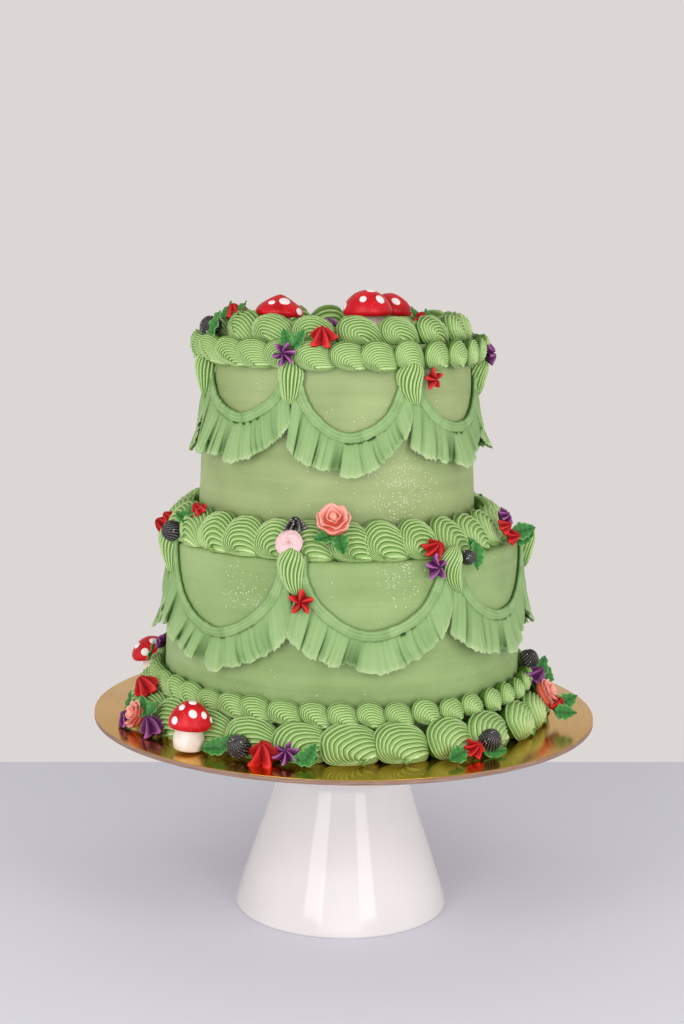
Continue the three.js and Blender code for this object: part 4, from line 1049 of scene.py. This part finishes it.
def mushroom(name, m):
    """A turned cap and a bulging stem, leaning, both a little lumpy by sine waves round them. Gives
    the skins of the dots on the cap."""
    turn, centre = mushroom_pose(m)
    cap_line = cap_profile(m)
    tall, stem = m["tall"], m["stem"]
    stem_line = smooth_line([
        (0.3, 0.15), (stem * 0.85, 0.1), (stem * 1.02, tall * 0.12), (stem * 1.07, tall * 0.35),
        (stem * 0.95, tall * 0.65), (stem * 0.85, tall * 0.9), (stem * 0.8, tall + 1.2), (0.3, tall + 1.2),
    ], 30)

    def cap_lumps(a, z):
        return (0.18 * np.sin(3 * a + m["azimuth"]) + 0.12 * np.sin(5 * a + z * 0.4)) * off_axis(cap_line)

    def stem_lumps(a, z):
        return 0.2 * np.sin(2 * a + z * 0.5) * off_axis(stem_line)

    def put(grid):
        return skin(grid @ turn.T + centre)

    cap, leg = f"mushroom_{name}_cap", f"mushroom_{name}_stem"
    piece(cap, [put(lathe(cap_line, 72, 0.0, cap_lumps))], cap_coating, "mushroom_cap", cap)
    piece(leg, [put(lathe(stem_line, 48, 0.0, stem_lumps))], stem_meringue, "mushroom_stem", leg)
    return [put(cap_dot(m, cap_line[:30], *dot)) for dot in m["dots"]]


# Finishes

# Silver dust on the tiers: the middles and radii of its patches, in metres.
DUST_PATCHES = (((0.032, -0.075, 0.268), 0.03), ((0.03, -0.1, 0.226), 0.02), ((-0.055, -0.09, 0.212), 0.02))
# A flake's radius in parts of its cell.
FLAKE_RADIUS = 0.28
# How far red, green and blue light go into pale buttercream, set against one another.
PALE_FAT = (0.9, 1.0, 0.4)


def linear(colour):
    """An sRGB hex colour as linear red, green, blue and full alpha."""
    parts = [int(colour[i:i + 2], 16) / 255 for i in (1, 3, 5)]
    return [c / 12.92 if c <= 0.04045 else ((c + 0.055) / 1.055) ** 2.4 for c in parts] + [1.0]


def scale_for(size):
    """The scale of a pattern whose marks lie about that many millimetres apart."""
    return 1000 / size


def add(tree, kind, inputs=None, stops=(), **settings):
    """Adds a node with its settings, its ramp's stops as (place, colour), its values and its links."""
    node = tree.nodes.new(kind)
    for key, value in settings.items():
        setattr(node, key, value)
    for _ in stops[2:]:
        node.color_ramp.elements.new(0.5)
    for number, (place, colour) in enumerate(stops):
        element = node.color_ramp.elements[number]
        element.position = place
        element.color = linear(colour)
    for key, value in (inputs or {}).items():
        if isinstance(value, bpy.types.NodeSocket):
            tree.links.new(value, node.inputs[key])
        else:
            node.inputs[key].default_value = value
    return node


def new_finish(name):
    """An empty node material with its surface shader and its object coordinates."""
    finish = bpy.data.materials.new(name)
    finish.use_nodes = True
    tree = finish.node_tree
    tree.nodes.clear()
    shader = add(tree, "ShaderNodeBsdfPrincipled")
    add(tree, "ShaderNodeOutputMaterial", {"Surface": shader.outputs[0]})
    place = add(tree, "ShaderNodeTexCoord").outputs["Object"]
    return finish, tree, shader, place


def dress(tree, shader, colour, relief, strength, depth, values):
    """Gives a shader its colour, a bump of that many millimetres, and its own sockets' values."""
    bump = add(tree, "ShaderNodeBump", {"Height": relief, "Strength": strength, "Distance": depth * MM})
    tree.links.new(colour, shader.inputs["Base Color"])
    tree.links.new(bump.outputs[0], shader.inputs["Normal"])
    for socket, value in values.items():
        shader.inputs[socket].default_value = value


def silver_dust(tree, place, share):
    """Edible silver dust: round flakes, each in a cell of about 0.95 mm, and about 0.4 mm wide where
    the surface cuts them. Real ones are finer, but wouldn't show. Only cells whose own chance
    number is below the share hold one."""
    cells = add(tree, "ShaderNodeTexVoronoi", {"Vector": place, "Scale": scale_for(0.9524)})
    near = add(tree, "ShaderNodeMath", {0: cells.outputs["Distance"], 1: FLAKE_RADIUS}, operation="LESS_THAN")
    picked = add(tree, "ShaderNodeMath", {0: cells.outputs["Color"], 1: share}, operation="LESS_THAN")
    both = add(tree, "ShaderNodeMath", {0: near.outputs[0], 1: picked.outputs[0]}, operation="MULTIPLY")
    return both.outputs[0]


def piped_icing(name, groove, body, crest, rough=0.58, soft=0.03, radius=PALE_FAT, sparkle=0.0):
    """Buttercream is fat, sugar and air whipped up, so it is matte with a faint greasy sheen and
    lets a little light in. Its colour is painted light and tone: painted shade in the grooves and a
    painted highlight on the crests, from the value kept with each point, and a drift over 18 mm.
    The nozzle drags its skin into dimples about 2 mm wide, and the grain on them is that of sugar
    and small air bubbles, drawn 0.6 mm wide so that it shows."""
    finish, tree, shader, place = new_finish(name)
    painted_light_and_tone = add(tree, "ShaderNodeAttribute", attribute_name="painted_light_and_tone").outputs["Fac"]
    cloud = add(tree, "ShaderNodeTexNoise", {"Vector": place, "Scale": scale_for(18.18), "Detail": 3.0})
    drag = add(tree, "ShaderNodeTexNoise", {"Vector": place, "Scale": scale_for(1.923), "Detail": 2.0})
    grains = add(tree, "ShaderNodeTexNoise", {"Vector": place, "Scale": scale_for(0.625), "Detail": 2.0})
    # The ramp runs on painted light and tone plus cloud drift: its groove stop is painted shade and its crest
    # stop a painted highlight.
    clouded = {0: cloud.outputs["Fac"], 1: 0.24, 2: painted_light_and_tone}
    drift_and_painted_light = add(tree, "ShaderNodeMath", clouded, operation="MULTIPLY_ADD")
    drift_and_painted_light = add(tree, "ShaderNodeMath", {0: drift_and_painted_light.outputs[0], 1: 0.12}, operation="SUBTRACT").outputs[0]
    stops = ((0.0, groove), (0.45, body), (1.0, crest))
    colour = add(tree, "ShaderNodeValToRGB", {"Fac": drift_and_painted_light}, stops).outputs["Color"]
    if sparkle:
        mixed = {"Factor": silver_dust(tree, place, sparkle), "A": colour, "B": linear("#f2efe9")}
        colour = add(tree, "ShaderNodeMix", mixed, data_type="RGBA").outputs["Result"]
    skin_height = {0: drag.outputs["Fac"], 1: 1.8, 2: grains.outputs["Fac"]}
    relief = add(tree, "ShaderNodeMath", skin_height, operation="MULTIPLY_ADD").outputs[0]
    dress(tree, shader, colour, relief, 0.3, 0.8, {
        "Roughness": rough, "Specular IOR Level": 0.33,
        "Subsurface Weight": soft, "Subsurface Radius": radius, "Subsurface Scale": 0.0014,
    })
    return finish


def spread_icing(name, shade, body, light):
    """Buttercream smoothed with a metal scraper turned about the cake: fine level lines, 1.1 mm
    and 5 mm apart, soft clouds of 60 mm in its colour, and a little silver dust in patches."""
    finish, tree, shader, place = new_finish(name)
    clouds = {"Vector": place, "Scale": scale_for(62.5), "Detail": 4.0, "Roughness": 0.55}
    cloud = add(tree, "ShaderNodeTexNoise", clouds).outputs["Fac"]
    lines = []
    for length, apart, detail in ((166.7, 5.263, 3.0), (83.33, 1.111, 2.0)):
        scale = (scale_for(length), scale_for(length), scale_for(apart))
        stretched = add(tree, "ShaderNodeMapping", {"Vector": place, "Scale": scale}).outputs[0]
        line = add(tree, "ShaderNodeTexNoise", {"Vector": stretched, "Scale": 1.0, "Detail": detail})
        lines.append(line.outputs["Fac"])
    wide, fine = lines
    mixed = add(tree, "ShaderNodeMath", {0: wide, 1: 0.35, 2: cloud}, operation="MULTIPLY_ADD").outputs[0]
    stops = ((0.45, shade), (0.66, body), (0.9, light))
    colour = add(tree, "ShaderNodeValToRGB", {"Fac": mixed}, stops).outputs["Color"]
    most = 0.0
    for centre, size in DUST_PATCHES:
        away = add(tree, "ShaderNodeVectorMath", {0: place, 1: centre}, operation="DISTANCE").outputs["Value"]
        thins = {"Value": away, "From Min": size, "From Max": 0.0, "To Min": 0.08, "To Max": 0.5}
        share = add(tree, "ShaderNodeMapRange", thins).outputs[0]
        most = add(tree, "ShaderNodeMath", {0: share, 1: most}, operation="MAXIMUM").outputs[0]
    dusted = {"Factor": silver_dust(tree, place, most), "A": colour, "B": linear("#e9eadf")}
    colour = add(tree, "ShaderNodeMix", dusted, data_type="RGBA").outputs["Result"]
    relief = add(tree, "ShaderNodeMath", {0: fine, 1: 0.4, 2: wide}, operation="MULTIPLY_ADD").outputs[0]
    dress(tree, shader, colour, relief, 0.22, 0.6, {
        "Roughness": 0.5, "IOR": 1.45,
        "Subsurface Weight": 0.1, "Subsurface Radius": PALE_FAT, "Subsurface Scale": 0.002,
    })
    return finish


def coated_meringue(name):
    """Meringue dipped in red candy coating: satin, with lumps 1.4 mm wide, clouds of 8 mm in its
    colour, and light specks in cells of 1.9 mm, each a fifth of a cell wide."""
    finish, tree, shader, place = new_finish(name)
    cloud = add(tree, "ShaderNodeTexNoise", {"Vector": place, "Scale": scale_for(8.333), "Detail": 3.0})
    stops = ((0.3, "#a8020f"), (0.55, "#cc0a1b"), (0.8, "#da1628"))
    colour = add(tree, "ShaderNodeValToRGB", {"Fac": cloud.outputs["Fac"]}, stops).outputs["Color"]
    specks = add(tree, "ShaderNodeTexVoronoi", {"Vector": place, "Scale": scale_for(1.923)})
    within = {0: specks.outputs["Distance"], 1: 0.12}
    near = add(tree, "ShaderNodeMath", within, operation="LESS_THAN").outputs[0]
    faint = add(tree, "ShaderNodeMath", {0: near, 1: 0.45}, operation="MULTIPLY").outputs[0]
    speckled = {"Factor": faint, "A": colour, "B": linear("#f08a8a")}
    colour = add(tree, "ShaderNodeMix", speckled, data_type="RGBA").outputs["Result"]
    lumps = add(tree, "ShaderNodeTexNoise", {"Vector": place, "Scale": scale_for(1.4286), "Detail": 2.0})
    values = {"Roughness": 0.36, "Specular IOR Level": 0.3}
    dress(tree, shader, colour, lumps.outputs["Fac"], 0.35, 0.5, values)
    return finish


def dry_meringue(name, shade, body):
    """Baked sugar foam: chalky off-white, with clouds of 7 mm and pores drawn 0.7 mm wide."""
    finish, tree, shader, place = new_finish(name)
    cloud = add(tree, "ShaderNodeTexNoise", {"Vector": place, "Scale": scale_for(6.667), "Detail": 3.0})
    stops = ((0.3, shade), (0.6, body))
    colour = add(tree, "ShaderNodeValToRGB", {"Fac": cloud.outputs["Fac"]}, stops).outputs["Color"]
    pores = add(tree, "ShaderNodeTexNoise", {"Vector": place, "Scale": scale_for(0.6667), "Detail": 2.0})
    dress(tree, shader, colour, pores.outputs["Fac"], 0.2, 0.3, {
        "Roughness": 0.55,
        "Subsurface Weight": 0.2, "Subsurface Radius": (1.0, 0.8, 0.7), "Subsurface Scale": 0.002,
    })
    return finish


def glazed_earthenware(name):
    """Poured white tin glaze: smooth and glossy, pooled in waves of 17 mm, faintly warm, with
    clouds of 70 mm."""
    finish, tree, shader, place = new_finish(name)
    cloud = add(tree, "ShaderNodeTexNoise", {"Vector": place, "Scale": scale_for(71.43), "Detail": 2.0})
    stops = ((0.35, "#d8d5d4"), (0.65, "#e0dddd"))
    colour = add(tree, "ShaderNodeValToRGB", {"Fac": cloud.outputs["Fac"]}, stops).outputs["Color"]
    waves = add(tree, "ShaderNodeTexNoise", {"Vector": place, "Scale": scale_for(16.67), "Detail": 1.0})
    values = {"Roughness": 0.07, "Specular IOR Level": 0.36}
    dress(tree, shader, colour, waves.outputs["Fac"], 0.06, 1.0, values)
    return finish


def foil_on_card(name):
    """Gold foil laid on card: a metal mirror, brushed by rolling in lines 2 mm apart and 40 mm
    long, with clouds of 33 mm in its colour."""
    finish, tree, shader, place = new_finish(name)
    cloud = add(tree, "ShaderNodeTexNoise", {"Vector": place, "Scale": scale_for(33.33), "Detail": 3.0})
    stops = ((0.3, "#d6a03a"), (0.7, "#e0ae46"))
    colour = add(tree, "ShaderNodeValToRGB", {"Fac": cloud.outputs["Fac"]}, stops).outputs["Color"]
    scale = (scale_for(2), scale_for(40), 1.0)
    stretched = add(tree, "ShaderNodeMapping", {"Vector": place, "Scale": scale}).outputs[0]
    lines = add(tree, "ShaderNodeTexNoise", {"Vector": stretched, "Scale": 1.0, "Detail": 2.0}).outputs["Fac"]
    brushed = {"Value": lines, "From Min": 0.3, "From Max": 0.7, "To Min": 0.14, "To Max": 0.26}
    rough = add(tree, "ShaderNodeMapRange", brushed).outputs[0]
    tree.links.new(rough, shader.inputs["Roughness"])
    dress(tree, shader, colour, lines, 0.05, 0.4, {"Metallic": 1.0})
    return finish


def cut_card(name):
    """Pressed grey-brown card, seen at its cut edge: fine layers 0.5 mm apart, 17 mm long."""
    finish, tree, shader, place = new_finish(name)
    scale = (scale_for(16.67), scale_for(16.67), scale_for(0.5))
    layers = add(tree, "ShaderNodeMapping", {"Vector": place, "Scale": scale}).outputs[0]
    layers = add(tree, "ShaderNodeTexNoise", {"Vector": layers, "Scale": 1.0, "Detail": 3.0}).outputs["Fac"]
    stops = ((0.3, "#7a5c50"), (0.7, "#a08474"))
    colour = add(tree, "ShaderNodeValToRGB", {"Fac": layers}, stops).outputs["Color"]
    dress(tree, shader, colour, layers, 0.3, 0.3, {"Roughness": 0.8})
    return finish


def painted_board(name, colour):
    """Board rolled with matte white paint, with the faint clouds that a roller leaves, 60 mm wide."""
    finish, tree, shader, place = new_finish(name)
    cloud = add(tree, "ShaderNodeTexNoise", {"Vector": place, "Scale": scale_for(62.5), "Detail": 2.0})
    stops = ((0.0, colour), (1.0, "#e2e3ef"))
    paint = add(tree, "ShaderNodeValToRGB", {"Fac": cloud.outputs["Fac"]}, stops).outputs["Color"]
    tree.links.new(paint, shader.inputs["Base Color"])
    shader.inputs["Roughness"].default_value = 0.9
    return finish


# A piped finish's groove colour is painted shade and its crest colour a painted highlight, picked by the
# painted light kept with each point.
buttercream = piped_icing("piped_buttercream_pale_green", "#44691f", "#92b86b", "#cbe0a3")
frill_cream = piped_icing("piped_buttercream_frill", "#3c6128", "#86a86c", "#b6cd98")
# Finishes of the toppings, by the colour that their rows give; each groove colour is painted shade and each
# crest colour a painted highlight.
TOPPING_FINISHES = {
    colour: piped_icing(f"piped_buttercream_{colour}", **values) for colour, values in dict(
        red=dict(groove="#6c0309", body="#b00a12", crest="#e0322e", rough=0.6, radius=(1.0, 0.2, 0.2)),
        purple=dict(groove="#2c0a30", body="#672766", crest="#ae68a6", rough=0.5, radius=(0.6, 0.3, 0.8)),
        dark=dict(groove="#0d0b0b", body="#211f20", crest="#8a8787", rough=0.38, soft=0.0, sparkle=0.25),
        coral=dict(groove="#c2503a", body="#e4705c", crest="#f6b5a8", radius=(1.0, 0.5, 0.4)),
        pink=dict(groove="#dcb0b4", body="#ecc9cd", crest="#f8e0e2", radius=(1.0, 0.7, 0.7)),
        leaf=dict(groove="#1d5522", body="#418a3e", crest="#8cbd76", rough=0.5),
    ).items()
}
upper_cream = spread_icing("scraped_buttercream_upper", "#83965f", "#92a46c", "#a0b27a")
lower_cream = spread_icing("scraped_buttercream_lower", "#7d985b", "#8ca66a", "#99b278")
cap_coating = coated_meringue("red_candy_coating")
stem_meringue = dry_meringue("baked_meringue", "#dccfc4", "#efe3da")
dot_icing = dry_meringue("white_royal_icing", "#eadedd", "#f4eaea")
glaze = glazed_earthenware("white_tin_glaze")
foil = foil_on_card("gold_foil_on_card")
card = cut_card("cut_card_edge")


# The cake, its board and its stand

stand_top = STAND_HEIGHT - SEAT_GAP
stand_corners = [
    (0.4, HOLLOW_Z), (29, HOLLOW_Z - 4), (FOOT_RADIUS - STAND_WALL, 0), (FOOT_RADIUS - 1, 0),
    (FOOT_RADIUS, 1.5), (62.1, 14), (53.6, 40), (44.8, 65.4), (NECK_RADIUS, NECK_Z), (NECK_RADIUS + 3, 90),
    (HEAD_RADIUS - 2, HEAD_Z), (HEAD_RADIUS, HEAD_Z + 2), (HEAD_RADIUS, stand_top), (0.4, stand_top),
]
stand_cuts = (8, 1, 1, 1.2, 10, 10, 10, 4, 5, 2, 1.5, 1)
piece("pedestal_stand", [skin(lathe(rounded(stand_corners, stand_cuts), 180))], glaze, "white_glaze", "stand")

card_top = BOARD_TOP - FOIL_THICKNESS
card_corners = [(0.5, STAND_HEIGHT), (BOARD_RADIUS, STAND_HEIGHT), (BOARD_RADIUS, card_top), (0.5, card_top)]
foil_low = card_top + 0.02
foil_corners = [(0.5, foil_low), (BOARD_RADIUS, foil_low), (BOARD_RADIUS, BOARD_TOP), (0.5, BOARD_TOP)]
piece("board_card", [skin(lathe(rounded(card_corners, 0.3), 240))], card, "card_edge", "board")
piece("board_foil", [skin(lathe(rounded(foil_corners, 0.15), 240))], foil, "gold_foil")

piece("lower_tier_icing", [tier_skin(LOWER)], lower_cream, "green_icing", "lower_tier")
piece("upper_tier_icing", [tier_skin(UPPER)], upper_cream, "green_icing", "upper_tier")

for name, border, node in (
    ("base_shell_border", BASE_SHELLS, "base_shells"),
    ("base_rope_border", BASE_ROPE, "base_rope"),
    ("ledge_shell_border", LEDGE_SHELLS, "ledge_shells"),
    ("side_rope_border", SIDE_ROPE, "side_rope"),
    ("crown_shell_border", CROWN_SHELLS, "crown_shells"),
):
    shells = [piped_shell(border, index) for index in range(border["count"])]
    piece(name, shells, buttercream, "green_icing", node)

for level, swags in (("upper", UPPER_SWAGS), ("lower", LOWER_SWAGS)):
    count = len(swags["drops"])
    cords = [cord_skin(swags, index) for index in range(count)]
    ruffles = [ruffle_skin(swags, index) for index in range(count)]
    piece(f"{level}_swag_cords", cords, frill_cream, "green_icing", f"{level}_cord")
    piece(f"{level}_swag_ruffles", ruffles, frill_cream, "frill_icing", f"{level}_ruffle")
    for index in range(count):
        name = f"{level}_drop_{index + 1}"
        piece(f"{name}_ridged", [drop_skin(swags, index)], buttercream, "green_icing", name)

all_dots = []
for name, measures in MUSHROOMS.items():
    all_dots += mushroom(name, measures)
piece("mushroom_cap_dots", all_dots, dot_icing, "cap_dot")

# The first topping of a cluster stands for the cluster's solid.
for number, (name, (tier, rows)) in enumerate(TOPPINGS.items()):
    for order, row in enumerate(rows):
        kind, colour = row[:2]
        finish = TOPPING_FINISHES[colour]
        nodes = (name,) if order == 0 else ()
        skins = topping_skins(tier, row, number * 7 + order)
        piece(f"{name}_{order + 1}_{colour}_{kind}", skins, finish, f"{colour}_icing", *nodes)

# Room and light

# The photograph's row of the seam between table and wall, how far the table goes on past the
# view's sides, and its depth towards and past the camera.
SEAM_ROW = 762
SEAM_SPREAD, TABLE_DEPTH = 1800.0, 3200.0


def lay_table(finish):
    """A flat table top whose far edge is the seam: the table's points at both ends of the seam's
    row, drawn out sideways, and the same two brought forward."""
    left, right = on_table(0, SEAM_ROW), on_table(PHOTO_WIDTH, SEAM_ROW)
    seam = (right - left) / np.linalg.norm(right - left) * SEAM_SPREAD
    left, right, front = left - seam, right + seam, np.array([0.0, -TABLE_DEPTH, 0.0])
    corners = np.array([left + front, right + front, right, left]) * MM
    mesh = bpy.data.meshes.new("table_top")
    mesh.from_pydata(corners.tolist(), [], [(0, 1, 2, 3)])
    mesh.materials.append(finish)
    made = bpy.data.objects.new("table_top", mesh)
    scene.collection.objects.link(made)


def soft_light(name, azimuth, height, distance, width, tall, power, colour, aim, mirrored=True):
    """A rectangular soft box at an azimuth, turned towards the point at the aim's height on the
    stand's axis. A card that only fills the shadows isn't mirrored in the glaze and the foil."""
    light = bpy.data.lights.new(name, "AREA")
    light.shape, light.size, light.size_y = "RECTANGLE", width * MM, tall * MM
    light.energy, light.color = power, linear(colour)[:3]
    made = bpy.data.objects.new(name, light)
    made.visible_glossy = mirrored
    turn = math.radians(azimuth)
    place = np.array([distance * math.sin(turn), -distance * math.cos(turn), height])
    back = place - np.array([0.0, 0.0, aim])
    back /= np.linalg.norm(back)
    side = np.cross([0.0, 0.0, 1.0], back)
    side /= np.linalg.norm(side)
    rows = np.eye(4)
    rows[:3, 0], rows[:3, 1], rows[:3, 2], rows[:3, 3] = side, np.cross(back, side), back, place * MM
    made.matrix_world = Matrix(rows.tolist())
    scene.collection.objects.link(made)


def light_room():
    """A plain pale wall all round, and a dimmer ceiling."""
    world = bpy.data.worlds.new("studio")
    world.use_nodes = True
    room = world.node_tree
    wall = room.nodes["Background"]
    wall.inputs["Color"].default_value = linear("#dcd7d5")
    direction = add(room, "ShaderNodeTexCoord").outputs["Generated"]
    height = add(room, "ShaderNodeSeparateXYZ", {0: direction}).outputs["Z"]
    dimmed = {"Value": height, "From Min": 0.15, "From Max": 0.8, "To Min": 1.0, "To Max": 0.7}
    strength = add(room, "ShaderNodeMapRange", dimmed).outputs[0]
    room.links.new(strength, wall.inputs["Strength"])
    scene.world = world


lay_table(painted_board("matte_table_top", "#e3e4f0"))
soft_light("soft_box_left", -30, 760, 1500, 600, 1100, 8.8, "#fffdfa", 230.0)
soft_light("soft_box_right", 31, 760, 1500, 500, 1100, 7.1, "#fffcf8", 230.0)
soft_light("side_card_left", -75, 260, 1100, 500, 420, 1.6, "#fffdfb", 120.0, mirrored=False)
soft_light("side_card_right", 75, 260, 1100, 500, 420, 2.2, "#fffdfb", 120.0, mirrored=False)
soft_light("soft_box_low", 0, 330, 1700, 1500, 420, 3.4, "#fffdfb", 120.0)
light_room()
scene.view_settings.view_transform = "Standard"
